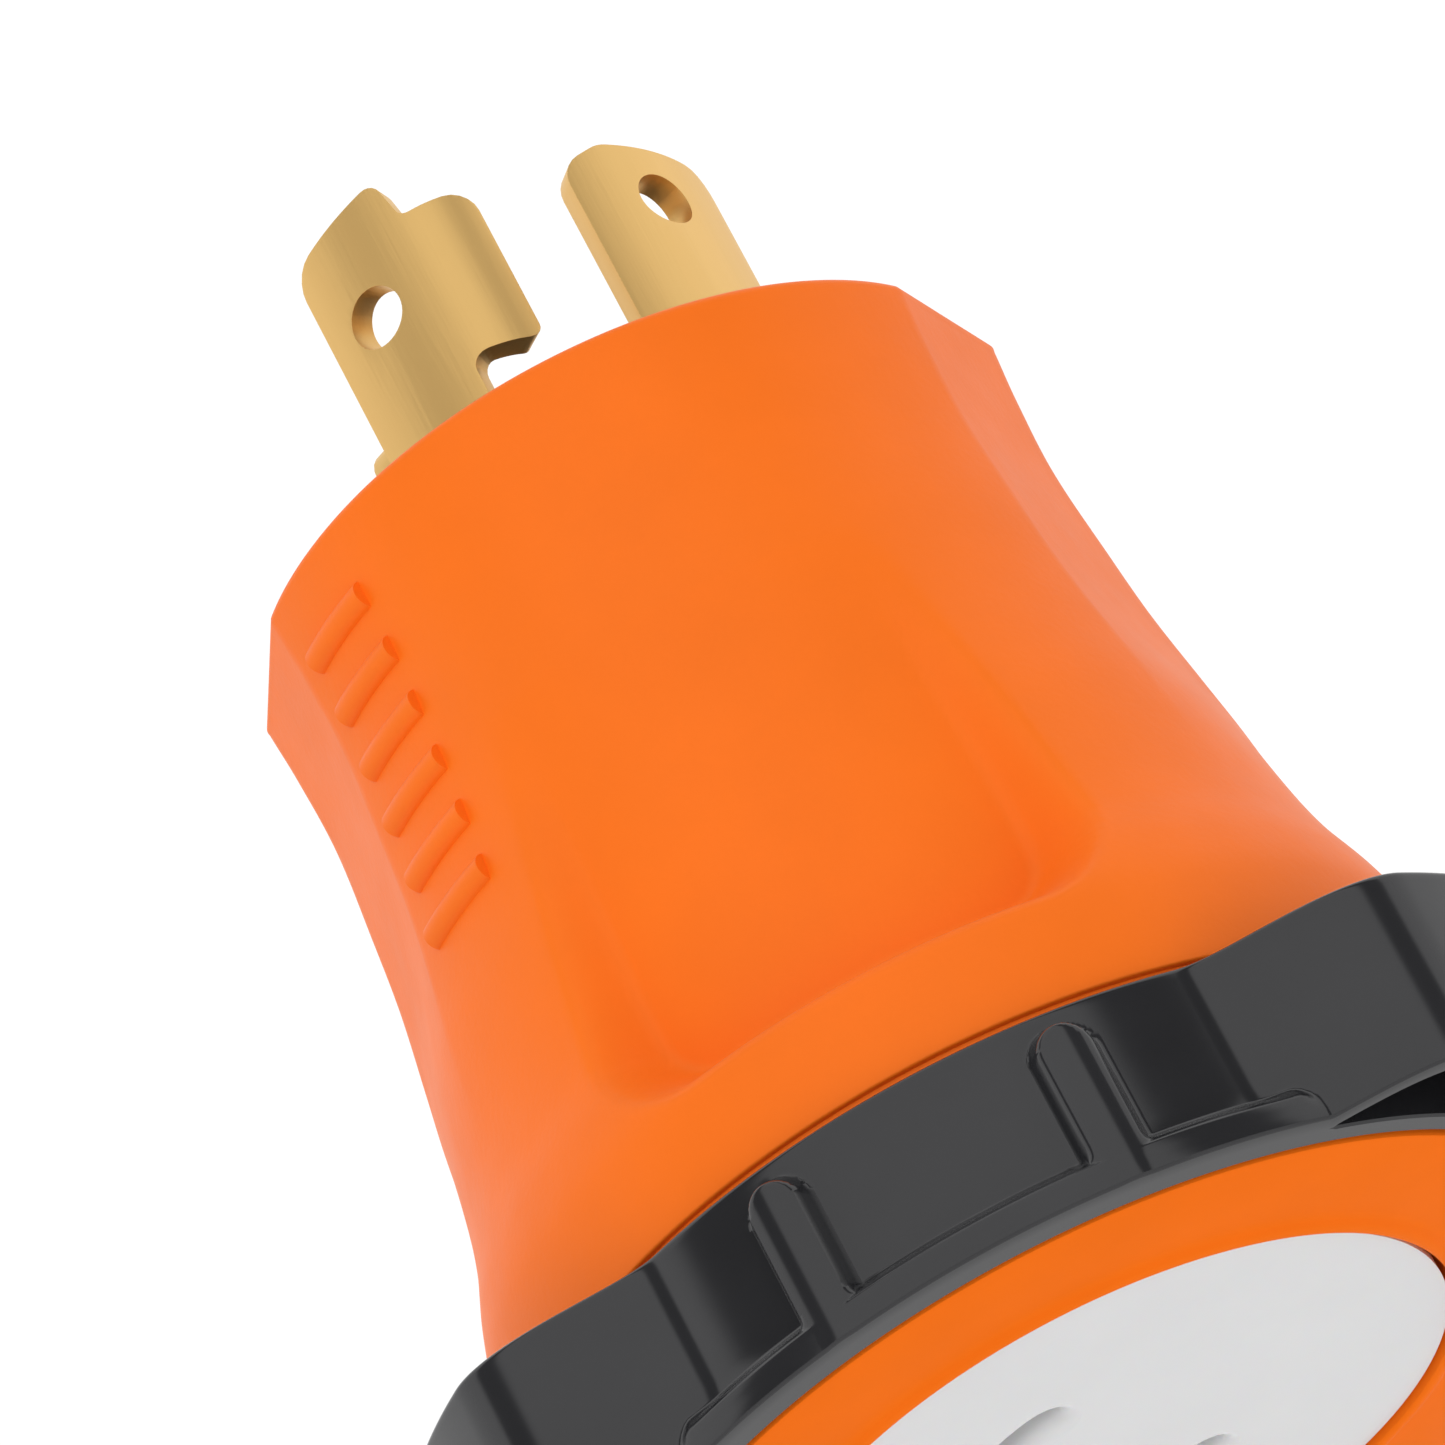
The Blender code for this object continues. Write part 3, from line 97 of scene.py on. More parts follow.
@dataclass(frozen=True)
class Finish:
    """One procedural finish: a base colour, its variation, and the relief of its surface."""

    slot: str
    colour: tuple[float, float, float]
    roughness: float
    texture: Texture = Texture.POLISHED
    metallic: float = 0.0
    specular: float = 0.5
    ior: float = 1.5
    coat: float = 0.0
    sheen: float = 0.0
    name: str = ""
    subsurface: float = 0.0
    variation: float = 0.06
    relief: float = 0.02 * MM
    grain: float = 0.45 * MM
    roughness_spread: float = 0.06
    coat_roughness: float = 0.08
    sheen_roughness: float = 0.35
    scatter: tuple[float, float, float] = (1.0, 0.35, 0.1)
    scatter_depth: float = 0.8 * MM
    tone_clouds: float = 9 * MM
    gloss_clouds: float = 3 * MM
    drawn_stretch: float = 0.06
    peel: float = 6.0  # how much broader a polished surface's waves are than grain

    @property
    def key(self) -> str:
        """The material's own name, which is its slot's unless it has another."""
        return self.name or self.slot

    def build(self) -> bpy.types.Material:
        """Makes the material's nodes.

        Returns:
            The material, which reads Object coordinates only.
        """
        material = bpy.data.materials.new(self.key)
        material.use_nodes = True
        tree = material.node_tree
        shader = tree.nodes["Principled BSDF"]
        settings = {
            "Metallic": self.metallic, "Specular IOR Level": self.specular, "IOR": self.ior,
            "Coat Weight": self.coat, "Coat Roughness": self.coat_roughness,
            "Sheen Weight": self.sheen, "Sheen Roughness": self.sheen_roughness,
        }
        if self.subsurface:
            settings |= {"Subsurface Weight": self.subsurface, "Subsurface Radius": self.scatter,
                         "Subsurface Scale": self.scatter_depth}
        for label, value in settings.items():
            shader.inputs[label].default_value = value
        place = tree.nodes.new("ShaderNodeTexCoord")
        stretch = tree.nodes.new("ShaderNodeMapping")
        if self.texture is Texture.DRAWN:
            stretch.inputs["Scale"].default_value = (1.0, 1.0, self.drawn_stretch)
        tree.links.new(place.outputs["Object"], stretch.inputs["Vector"])
        self._vary_colour(tree, shader, stretch)
        self._vary_roughness(tree, shader, stretch)
        self._raise_grain(tree, shader, stretch)
        return material

    def _noise(self, tree: bpy.types.NodeTree, stretch: bpy.types.Node, size: float,
               detail: float) -> bpy.types.Node:
        """A noise texture whose features are about one size."""
        noise = tree.nodes.new("ShaderNodeTexNoise")
        noise.inputs["Scale"].default_value = 1.0 / size
        noise.inputs["Detail"].default_value = detail
        tree.links.new(stretch.outputs["Vector"], noise.inputs["Vector"])
        return noise

    def _vary_colour(self, tree: bpy.types.NodeTree, shader: bpy.types.Node,
                     stretch: bpy.types.Node) -> None:
        """Mixes a slightly deeper and a slightly lighter tone in broad, soft clouds."""
        noise = self._noise(tree, stretch, self.tone_clouds, 3.0)
        ramp = tree.nodes.new("ShaderNodeValToRGB")
        low, high = ramp.color_ramp.elements
        low.position, high.position = 0.3, 0.7
        low.color = (*[c * (1 - self.variation) for c in self.colour], 1)
        high.color = (*[min(c * (1 + self.variation), 1.0) for c in self.colour], 1)
        tree.links.new(noise.outputs["Fac"], ramp.inputs["Fac"])
        tree.links.new(ramp.outputs["Color"], shader.inputs["Base Color"])

    def _vary_roughness(self, tree: bpy.types.NodeTree, shader: bpy.types.Node,
                        stretch: bpy.types.Node) -> None:
        """Lets the gloss wander a little over the surface."""
        noise = self._noise(tree, stretch, self.gloss_clouds, 4.0)
        spread = tree.nodes.new("ShaderNodeMapRange")
        spread.inputs["To Min"].default_value = max(self.roughness - self.roughness_spread, 0.02)
        spread.inputs["To Max"].default_value = min(self.roughness + self.roughness_spread, 1.0)
        tree.links.new(noise.outputs["Fac"], spread.inputs["Value"])
        tree.links.new(spread.outputs["Result"], shader.inputs["Roughness"])

    def _raise_grain(self, tree: bpy.types.NodeTree, shader: bpy.types.Node,
                     stretch: bpy.types.Node) -> None:
        """Gives the surface its relief: moulded grain, drawing lines or a faint orange peel."""
        size = self.grain * (self.peel if self.texture is Texture.POLISHED else 1.0)
        detail = 5.0 if self.texture is Texture.FINE_GRAIN else 2.0
        noise = self._noise(tree, stretch, size, detail)
        bump = tree.nodes.new("ShaderNodeBump")
        bump.inputs["Strength"].default_value = 1.0
        bump.inputs["Distance"].default_value = self.relief
        tree.links.new(noise.outputs["Fac"], bump.inputs["Height"])
        tree.links.new(bump.outputs["Normal"], shader.inputs["Normal"])


ORANGE = Finish("orange_plastic", (0.98, 0.176, 0.008), 0.46, Texture.FINE_GRAIN, specular=0.16,
                sheen=0.05, variation=0.025, relief=0.022 * MM, grain=0.5 * MM)
FLANGE_ORANGE = replace(ORANGE, name="flange_plastic", specular=0.5, ior=1.08, sheen=0.0,
                        roughness=0.5, texture=Texture.POLISHED, relief=0.008 * MM)
RING_BLACK = Finish("black_gloss", (0.019, 0.019, 0.021), 0.13, specular=0.55, variation=0.1,
                    relief=0.002 * MM, roughness_spread=0.03)
FACE_WHITE = Finish("white_gloss", (0.75, 0.75, 0.755), 0.22, specular=0.5, subsurface=0.15,
                    variation=0.012, relief=0.004 * MM, roughness_spread=0.04)
INSULATOR = Finish("insulator", (0.03, 0.03, 0.031), 0.42, Texture.FINE_GRAIN, relief=0.02 * MM)
BRASS = Finish("brass", (0.80, 0.517, 0.187), 0.46, Texture.DRAWN, metallic=1.0, variation=0.05,
               relief=0.012 * MM, grain=0.35 * MM, roughness_spread=0.08)
STEEL = Finish("steel", (0.62, 0.62, 0.64), 0.3, Texture.DRAWN, metallic=1.0, relief=0.01 * MM)
SEAL = Finish("seal_rubber", (0.018, 0.018, 0.018), 0.7, Texture.FINE_GRAIN, relief=0.03 * MM)
NYLON = Finish("nylon", (0.72, 0.69, 0.6), 0.4, specular=0.4, subsurface=0.2)
BOARD = Finish("board", (0.015, 0.17, 0.06), 0.3, Texture.FINE_GRAIN, coat=0.4, relief=0.01 * MM)
EPOXY = Finish("varistor_epoxy", (0.02, 0.08, 0.38), 0.22, coat=0.3, relief=0.05 * MM)
CERAMIC = Finish("fuse_ceramic", (0.8, 0.77, 0.7), 0.18, coat=0.3)
SLEEVE_BLACK = Finish("lead_black", (0.02, 0.02, 0.02), 0.38)
SLEEVE_WHITE = Finish("lead_white", (0.72, 0.72, 0.7), 0.38)
SLEEVE_GREEN = Finish("lead_green", (0.015, 0.25, 0.06), 0.38)
FINISHES = (ORANGE, FLANGE_ORANGE, RING_BLACK, FACE_WHITE, INSULATOR, BRASS, STEEL, SEAL, NYLON,
            BOARD, EPOXY, CERAMIC, SLEEVE_BLACK, SLEEVE_WHITE, SLEEVE_GREEN)


# --- shapes ---------------------------------------------------------------------------------


def polar(radius: float, angle: float, height: float = 0.0) -> Vector:
    """A point at a radius, an angle in degrees about the axis, and a height along it."""
    turn = math.radians(angle)
    return Vector((radius * math.cos(turn), radius * math.sin(turn), height))


def smoothstep(low: float, high: float, value: float) -> float:
    """0 below low, 1 above high, and a smooth rise between them."""
    share = min(max((value - low) / (high - low), 0.0), 1.0)
    return share * share * (3 - 2 * share)


def smooth_curve(points: Sequence[Point2], value: float) -> float:
    """A Catmull-Rom curve through (x, y) points, read at one x.

    Args:
        points: The points, x rising.
        value: Where to read it.

    Returns:
        The curve's y there.
    """
    last = len(points) - 2
    i = next((k for k in range(last + 1) if value <= points[k + 1][0]), last)
    (x1, y1), (x2, y2) = points[i], points[i + 1]
    x0, y0 = points[i - 1] if i else (x1 - (x2 - x1), y1)
    x3, y3 = points[i + 2] if i < last else (x2 + (x2 - x1), y2)
    t = (value - x1) / (x2 - x1)
    start = (y2 - y0) / (x2 - x0) * (x2 - x1)
    end = (y3 - y1) / (x3 - x1) * (x2 - x1)
    return ((2 * t**3 - 3 * t**2 + 1) * y1 + (t**3 - 2 * t**2 + t) * start
            + (-2 * t**3 + 3 * t**2) * y2 + (t**3 - t**2) * end)


def evenly(low: float, high: float, count: int) -> list[float]:
    """Values from low up to, but without, high."""
    return [low + (high - low) * i / count for i in range(count)]


def quarter(size: float, steps: int) -> list[Point2]:
    """A quarter round, from a flat face's edge to the wall.

    Args:
        size: Its radius.
        steps: Straight pieces in it.

    Returns:
        Distances from the wall and from the flat face, from (size, 0) to (0, size).
    """
    turns = [math.pi / 2 * k / steps for k in range(steps + 1)]
    return [(size * (1 - math.sin(turn)), size * (1 - math.cos(turn))) for turn in turns]


@contextmanager
def edited(mesh: bpy.types.Mesh) -> Iterator[bmesh.types.BMesh]:
    """Opens a mesh for editing, and writes it back at the end.

    Args:
        mesh: The mesh.

    Yields:
        Its editable form.
    """
    work = bmesh.new()
    work.from_mesh(mesh)
    yield work
    work.to_mesh(mesh)
    work.free()


def finish_mesh(mesh: bpy.types.Mesh, crease: float = 40.0) -> None:
    """Merges doubles, and shades the mesh smooth but for edges sharper than the crease.

    Args:
        mesh: The mesh to clean.
        crease: Angle in degrees above which an edge stays sharp.
    """
    with edited(mesh) as work:
        bmesh.ops.remove_doubles(work, verts=work.verts, dist=1e-6)
        bmesh.ops.dissolve_degenerate(work, edges=work.edges, dist=1e-7)
    mesh.shade_smooth()
    mesh.set_sharp_from_angle(angle=math.radians(crease))


def flatten(mesh: bpy.types.Mesh) -> None:
    """Shades the level faces flat, so that rounded edges beside them don't tint them."""
    for face in mesh.polygons:
        if abs(face.normal.z) > 0.9999:
            face.use_smooth = False


def piece(name: str, mesh: bpy.types.Mesh) -> bpy.types.Object:
    """Puts a mesh in the scene as an object of that name."""
    obj = bpy.data.objects.new(name, mesh)
    bpy.context.scene.collection.objects.link(obj)
    return obj


def skin(name: str, rows: Sequence[Sequence[Vector]]) -> bpy.types.Object:
    """Joins closed rows about the axis, which go round a closed section, into one shell.

    Args:
        name: The piece's name.
        rows: Rows with the same number of points each; the section runs up outside first.

    Returns:
        The piece.
    """
    count = len(rows[0])
    faces = []
    for r in range(len(rows)):
        low, high = r * count, (r + 1) % len(rows) * count
        faces += [(low + i, low + (i + 1) % count, high + (i + 1) % count, high + i)
                  for i in range(count)]
    mesh = bpy.data.meshes.new(name)
    mesh.from_pydata([point for row in rows for point in row], [], faces)
    finish_mesh(mesh)
    return piece(name, mesh)


def turned(name: str, section: Section, steps: int = 192) -> bpy.types.Object:
    """A ring turned about the axis from a closed section that runs up its outer side."""
    angles = evenly(0, 360, steps)
    return skin(name, [[polar(radius, angle, height) for angle in angles]
                       for radius, height in section])


def rounded(corners: Sequence[tuple[float, float, float]], steps: int = 5) -> list[Point2]:
    """A polygon whose corners, each (x, y, radius), are rounded by arcs.

    Args:
        corners: The corners in order.
        steps: Straight pieces in each arc.

    Returns:
        The outline's points.
    """
    points: list[Point2] = []
    for i, (x, y, radius) in enumerate(corners):
        here = Vector((x, y))
        if not radius:
            points.append((x, y))
            continue
        before = (Vector(corners[i - 1][:2]) - here).normalized()
        after = (Vector(corners[(i + 1) % len(corners)][:2]) - here).normalized()
        half = before.angle(after) / 2
        centre = here + (before + after).normalized() * radius / math.sin(half)
        start = here + before * radius / math.tan(half) - centre
        turn = start.angle_signed(here + after * radius / math.tan(half) - centre)
        for k in range(steps + 1):
            spin = -turn * k / steps
            points.append((centre.x + start.x * math.cos(spin) - start.y * math.sin(spin),
                           centre.y + start.x * math.sin(spin) + start.y * math.cos(spin)))
    return points


def circle(x: float, y: float, radius: float, steps: int = 40) -> list[Point2]:
    """A round outline."""
    return [(x + radius * math.cos(turn), y + radius * math.sin(turn))
            for turn in evenly(0, math.tau, steps)]


def plate(name: str, outlines: Sequence[Section], low: float, high: float,
          edge: float) -> bpy.types.Mesh:
    """A flat outline with holes, from one height to another, its edges rounded over.

    Args:
        name: The mesh's name.
        outlines: The outer outline first, then its holes.
        low: Height of the lower face.
        high: Height of the upper face.
        edge: Width of the rounded edges.

    Returns:
        The mesh.
    """
    curve = bpy.data.curves.new(name, "CURVE")
    curve.dimensions = "2D"
    curve.fill_mode = "BOTH"
    curve.extrude = (high - low) / 2
    for outline in outlines:
        spline = curve.splines.new("POLY")
        spline.points.add(len(outline) - 1)
        for point, (x, y) in zip(spline.points, outline):
            point.co = (x, y, 0, 1)
        spline.use_cyclic_u = True
    holder = bpy.data.objects.new(name, curve)
    bpy.context.scene.collection.objects.link(holder)
    bpy.context.view_layer.update()
    graph = bpy.context.evaluated_depsgraph_get()
    mesh = bpy.data.meshes.new_from_object(holder.evaluated_get(graph), depsgraph=graph)
    mesh.transform(Matrix.Translation((0, 0, (low + high) / 2)))
    bpy.data.objects.remove(holder)
    with edited(mesh) as work:
        bmesh.ops.remove_doubles(work, verts=work.verts, dist=1e-7)
        rims = [e for e in work.edges
                if len(e.link_faces) == 2 and e.calc_face_angle() > math.radians(60)
                and abs(e.verts[0].co.z - e.verts[1].co.z) < 1e-6]
        bmesh.ops.bevel(work, geom=rims, offset=edge, segments=4, profile=0.5, affect="EDGES",
                        clamp_overlap=True)
    return mesh


def modified(obj: bpy.types.Object) -> bpy.types.Object:
    """Turns what an object's modifiers make into its plain mesh."""
    bpy.context.view_layer.update()
    graph = bpy.context.evaluated_depsgraph_get()
    mesh = bpy.data.meshes.new_from_object(obj.evaluated_get(graph), depsgraph=graph)
    obj.modifiers.clear()
    obj.data = mesh
    return obj


def cut(target: bpy.types.Object, cutter: bpy.types.Object) -> None:
    """Cuts one object out of another and removes the cutter."""
    step = target.modifiers.new("cut", "BOOLEAN")
    step.operation = "DIFFERENCE"
    step.object = cutter
    modified(target)
    bpy.data.objects.remove(cutter)


# --- geometry nodes -------------------------------------------------------------------------


def maths(tree: bpy.types.NodeTree, operation: str, first: object,
          second: object = 0.0) -> bpy.types.NodeSocket:
    """Adds one step of arithmetic to a tree.

    Args:
        tree: The tree.
        operation: The step's operation.
        first: A socket or a number.
        second: Another, where the operation takes two.

    Returns:
        The socket with the result.
    """
    step = tree.nodes.new("ShaderNodeMath")
    step.operation = operation
    for socket, value in zip(step.inputs, (first, second)):
        if isinstance(value, bpy.types.NodeSocket):
            tree.links.new(value, socket)
        else:
            socket.default_value = value
    return step.outputs[0]


class NodeRig:
    """A geometry node tree with named inputs, put on an object and then applied."""

    def __init__(self, name: str, sizes: dict[str, float]) -> None:
        """Starts the tree.

        Args:
            name: The tree's name.
            sizes: Name and value of each size; a whole number makes an integer input.
        """
        self.tree = bpy.data.node_groups.new(name, "GeometryNodeTree")
        self.sizes = sizes
        self.sockets: dict[str, str] = {}
        face = self.tree.interface
        face.new_socket(name="Geometry", in_out="INPUT", socket_type="NodeSocketGeometry")
        for label, value in sizes.items():
            kind = "NodeSocketInt" if isinstance(value, int) else "NodeSocketFloat"
            socket = face.new_socket(name=label, in_out="INPUT", socket_type=kind)
            self.sockets[label] = socket.identifier
        face.new_socket(name="Geometry", in_out="OUTPUT", socket_type="NodeSocketGeometry")
        self.given = self.tree.nodes.new("NodeGroupInput")
        self.result = self.tree.nodes.new("NodeGroupOutput")

    def node(self, kind: str, **inputs: object) -> bpy.types.Node:
        """Adds a node and fills its inputs.

        Args:
            kind: The node's type, without its GeometryNode prefix.
            **inputs: Values or output sockets by input name, with _ for a space.

        Returns:
            The node.
        """
        node = self.tree.nodes.new("GeometryNode" + kind)
        for label, value in inputs.items():
            target = node.inputs[label.replace("_", " ")]
            if isinstance(value, bpy.types.NodeSocket):
                self.tree.links.new(value, target)
            else:
                target.default_value = value
        return node

    def size(self, label: str) -> bpy.types.NodeSocket:
        """The group input of that name."""
        return self.given.outputs[label]

    def apply(self, obj: bpy.types.Object, last: bpy.types.NodeSocket,
              material: bpy.types.Material) -> bpy.types.Object:
        """Ends the tree in real geometry with a material, and applies it.

        Args:
            obj: The object whose mesh the tree starts from.
            last: The socket with the tree's geometry.
            material: The material of all of it.

        Returns:
            The object, with a plain mesh.
        """
        real = self.node("RealizeInstances", Geometry=last)
        dressed = self.node("SetMaterial", Geometry=real.outputs[0], Material=material)
        self.tree.links.new(dressed.outputs[0], self.result.inputs[0])
        step = obj.modifiers.new(self.tree.name, "NODES")
        step.node_group = self.tree
        for label, value in self.sizes.items():
            step[self.sockets[label]] = value
        return modified(obj)


# --- the pieces -----------------------------------------------------------------------------


@dataclass
class Wardrobe:
    """The built materials, and the placing of finished pieces on their bodies."""

    materials: dict[str, bpy.types.Material] = field(default_factory=dict)

    def __post_init__(self) -> None:
        """Builds every finish once."""
        for finish in FINISHES:
            self.materials[finish.key] = finish.build()

    def dress(self, obj: bpy.types.Object, finish: Finish, body: Body,
              *nodes: str) -> bpy.types.Object:
        """Gives a piece its finish and its body, and hides the nodes that it stands for.

        Args:
            obj: The piece.
            finish: Its finish.
            body: The body that it rides on.
            *nodes: The nodes that it replaces.

        Returns:
            The piece.
        """
        obj.data.materials.clear()
        obj.data.materials.append(self.materials[finish.key])
        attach(obj, body.value)
        if nodes:
            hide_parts(*nodes)
        LOG.info("%s: %d faces, %s, on %s", obj.name, len(obj.data.polygons), finish.slot,
                 body.value)
        return obj

    def repaint(self, nodes: dict[str, bpy.types.Object], finish: Finish,
                names: Sequence[str]) -> None:
        """Gives nodes that stay as they are a better material.

        Args:
            nodes: The frame's nodes.
            finish: Their finish.
            names: Which of them.
        """
        for name in names:
            nodes[name].data.materials.clear()
            nodes[name].data.materials.append(self.materials[finish.key])
        LOG.info("%s: %s", finish.slot, ", ".join(names))


@dataclass
class Layout:
    """Heights and radii that the pieces share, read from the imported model."""

    plug_end: float
    grip_bottom: float
    neck_bottom: float
    neck_radius: float
    plug_bore: float
    socket_bore: float
    flange: float
    lip: float
    collar_radius: float
    collar_back: float
    spigot_top: float
    ring_top: float
    plug_top: float
    plug_low: float
    retainer_low: float
    carrier_top: float

    @classmethod
    def read(cls) -> Layout:
        """Reads the layout off the nodes' boxes.

        Returns:
            The layout.
        """
        grip, collar, ring, gasket, plug, retainer, face = (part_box(node) for node in (
            "grip_body", "socket_collar", "locking_ring", "collar_gasket", "plug_face",
            "blade_retainer", "socket_face"))
        return cls(
            plug_end=grip[1].z, grip_bottom=ring[1].z + RING_CLEARANCE,
            neck_bottom=gasket[1].z + GAP,
            neck_radius=gasket[1].x + GAP, plug_bore=plug[1].x + GAP, socket_bore=face[1].x + GAP,
            flange=ring[0].z, lip=collar[0].z, collar_radius=collar[1].x,
            collar_back=gasket[0].z - GAP, spigot_top=collar[1].z, ring_top=ring[1].z,
            plug_top=plug[1].z, plug_low=plug[0].z, retainer_low=retainer[0].z,
            carrier_top=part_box("carrier_screw_1")[1].z + GAP,
        )


@dataclass
class Assembly:
    """A sub-assembly: the layout that it fits, and the wardrobe that dresses it."""

    layout: Layout
    wardrobe: Wardrobe


@dataclass
class Grip(Assembly):
    """The moulded grip: flats beside two ridges, broad arcs, scoops, and rows of ribs."""

    body_radius: float = 25.5 * MM
    flare_radius: float = 31.6 * MM
    profile: Section = (
        (0.0, 1.0), (0.12, 0.98), (0.18, 0.85), (0.25, 0.62), (0.32, 0.47), (0.44, 0.33),
        (0.51, 0.23), (0.61, 0.09), (0.70, 0.01), (0.82, -0.075), (0.92, -0.05), (1.0, 0.0),
    )
    crease_angle: float = 30.0
    crease_share: float = 0.985
    facet_fade: Point2 = (0.30, 0.58)
    scoop_half_width: float = 16.2 * MM
    scoop_bottom: float = 8.9 * MM
    scoop_corner: float = 4.5 * MM
    scoop_wall: float = 1.7 * MM
    scoop_depth: float = 0.2 * MM
    scoop_taper: float = 0.15
    rib_count: int = 6
    rib_pitch: float = 4.15 * MM
    rib_top: float = 5.4 * MM
    rib_radius: float = 0.98 * MM
    rib_sink: float = 0.22 * MM
    rib_angles: Point2 = (-145.0, -129.5)
    rim: float = 0.7 * MM
    foot_rise: float = 0.95 * MM
    foot_inset: float = 0.4 * MM
    foot_edge: float = 0.18 * MM
    ledge_thickness: float = 3.2 * MM
    ledge_width: float = 5.0 * MM
    cone: float = 9.0 * MM
    seat_width: float = 2.0 * MM
    groove_shift: float = 2.3 * MM
    groove_half: float = 1.0 * MM
    groove_depth: float = 1.0 * MM
    segments: int = 360
    levels: int = 190

    def outer_radius(self, height: float, angle: float) -> float:
        """The outside at a height and an angle, without the ribs.

        Args:
            height: Height along the axis.
            angle: Angle in degrees.

        Returns:
            The radius.
        """
        low, high = self.layout.grip_bottom, self.layout.plug_end
        share = (height - low) / (high - low)
        swell = smooth_curve(self.profile, share)
        ridge = self.body_radius + swell * (self.flare_radius - self.body_radius)
        from_ridge = abs((angle + 90.0) % 180.0 - 90.0)
        crease = ridge * self.crease_share
        faceted = crease
        if from_ridge < self.crease_angle:
            start, end = polar(ridge, 0).xy, polar(crease, self.crease_angle).xy
            faceted = start.cross(end - start) / polar(1, from_ridge).xy.cross(end - start)
        radius = ridge + (faceted - ridge) * smoothstep(*self.facet_fade, share)
        floor = self.body_radius - self.scoop_depth
        if floor < radius:
            radius += (floor - radius) * self.scoop_share(height, from_ridge, ridge)
        return radius

    def scoop_share(self, height: float, from_ridge: float, ridge: float) -> float:
        """How far a place lies in the scoop: 0 outside, 1 on its floor."""
        y = self.layout.grip_bottom + self.scoop_bottom + self.scoop_corner - height
        half = self.scoop_half_width - self.scoop_corner + self.scoop_taper * min(y, 0.0)
        x = abs(math.radians(90.0 - from_ridge) * ridge) - half
        outside = math.hypot(max(x, 0.0), max(y, 0.0)) + min(max(x, y), 0.0) - self.scoop_corner
        return smoothstep(-self.scoop_wall, self.scoop_wall, -outside)

    def inside(self) -> list[Point2]:
        """The section from the rim down the bore, round the neck and back to the flare's foot."""
        lay = self.layout
        plug, neck = lay.plug_bore, lay.neck_radius
        ledge_top = lay.retainer_low - GAP
        ledge_low, ledge = ledge_top - self.ledge_thickness, plug - self.ledge_width
        seat = lay.carrier_top + GAP
        groove = (lay.neck_bottom + lay.ring_top - self.groove_shift) / 2
        low, high = groove - self.groove_half, groove + self.groove_half
        bottom = neck - self.groove_depth
        return [
            (plug + EDGE, lay.plug_end), (plug, lay.plug_end - EDGE), (plug, ledge_top),
            (ledge, ledge_top), (ledge, ledge_low), (plug, ledge_low),
            (plug, seat + self.cone), (lay.socket_bore - self.seat_width, seat),
            (lay.socket_bore, seat), (lay.socket_bore, lay.neck_bottom + BREAK),
            (lay.socket_bore + BREAK, lay.neck_bottom), (neck - BREAK, lay.neck_bottom),
            (neck, lay.neck_bottom + BREAK), (neck, low), (bottom, low), (bottom, high),
            (neck, high), (neck, lay.grip_bottom),
        ]

    def build(self) -> None:
        """Makes the grip as one shell."""
        lay = self.layout
        angles = evenly(0, 360, self.segments)
        foot = lay.grip_bottom + self.foot_rise

        def row(height: float, inset: float = 0.0, read: float | None = None) -> list[Vector]:
            """The outside's points at a height, moved in, the radius read at another height."""
            return [polar(self.outer_radius(height if read is None else read, a) - inset, a, height)
                    for a in angles]

        rows = [row(lay.grip_bottom + rise, self.foot_inset, lay.grip_bottom)
                for rise in (0.0, self.foot_rise - 1.2 * self.foot_edge)]
        rows += [row(foot - self.foot_edge + rise, inset)
                 for inset, rise in quarter(self.foot_edge, 6)[:-1]]
        rows += [row(height) for height in evenly(foot, lay.plug_end - self.rim, self.levels)]
        rows += [row(lay.plug_end - drop, inset, lay.plug_end)
                 for drop, inset in quarter(self.rim, 6)]
        rows += [[polar(radius, a, height) for a in angles] for radius, height in self.inside()]
        self.wardrobe.dress(skin("moulded_grip", rows), ORANGE, Body.PLUG, "grip_body")
        self.build_ribs()

    def build_ribs(self) -> None:
        """Sweeps the rows of round-ended ribs along the grip's surface, on both sides."""
        start, end = self.rib_angles
        points, edges = [], []
        for side in (0.0, 180.0):
            for row in range(self.rib_count):
                height = self.layout.plug_end - self.rib_top - row * self.rib_pitch
                first = len(points)
                for angle in [*evenly(start, end, 12), end]:
                    radius = self.outer_radius(height, angle + side) - self.rib_sink
                    points.append(polar(radius, angle + side, height))
                edges += [(i, i + 1) for i in range(first, len(points) - 1)]
        mesh = bpy.data.meshes.new("grip_ribs")
        mesh.from_pydata(points, edges, [])
        rig = NodeRig("round_ended_ribs", {"Radius": self.rib_radius, "Steps": 64})
        paths = rig.node("MeshToCurve", Mesh=rig.size("Geometry"))
        even = rig.node("ResampleCurve", Curve=paths.outputs[0], Count=rig.size("Steps"))
        place = rig.node("SplineParameter")
        whole = rig.node("SplineLength")
        step = partial(maths, rig.tree)
        along = place.outputs["Length"]
        to_end = step("MINIMUM", along, step("SUBTRACT", whole.outputs["Length"], along))
        near = step("MINIMUM", step("DIVIDE", to_end, rig.size("Radius")), 1.0)
        share = step("SUBTRACT", 1.0, near)
        bulge = step("SQRT", step("SUBTRACT", 1.001, step("MULTIPLY", share, share)))
        taper = rig.node("SetCurveRadius", Curve=even.outputs[0], Radius=bulge)
        section = rig.node("CurvePrimitiveCircle", Resolution=28, Radius=rig.size("Radius"))
        swept = rig.node("CurveToMesh", Curve=taper.outputs[0], Profile_Curve=section.outputs[0],
                         Fill_Caps=True)
        ribs = rig.apply(piece("grip_ribs", mesh), swept.outputs[0],
                         self.wardrobe.materials[ORANGE.key])
        finish_mesh(ribs.data, 60.0)
        self.wardrobe.dress(ribs, ORANGE, Body.PLUG)


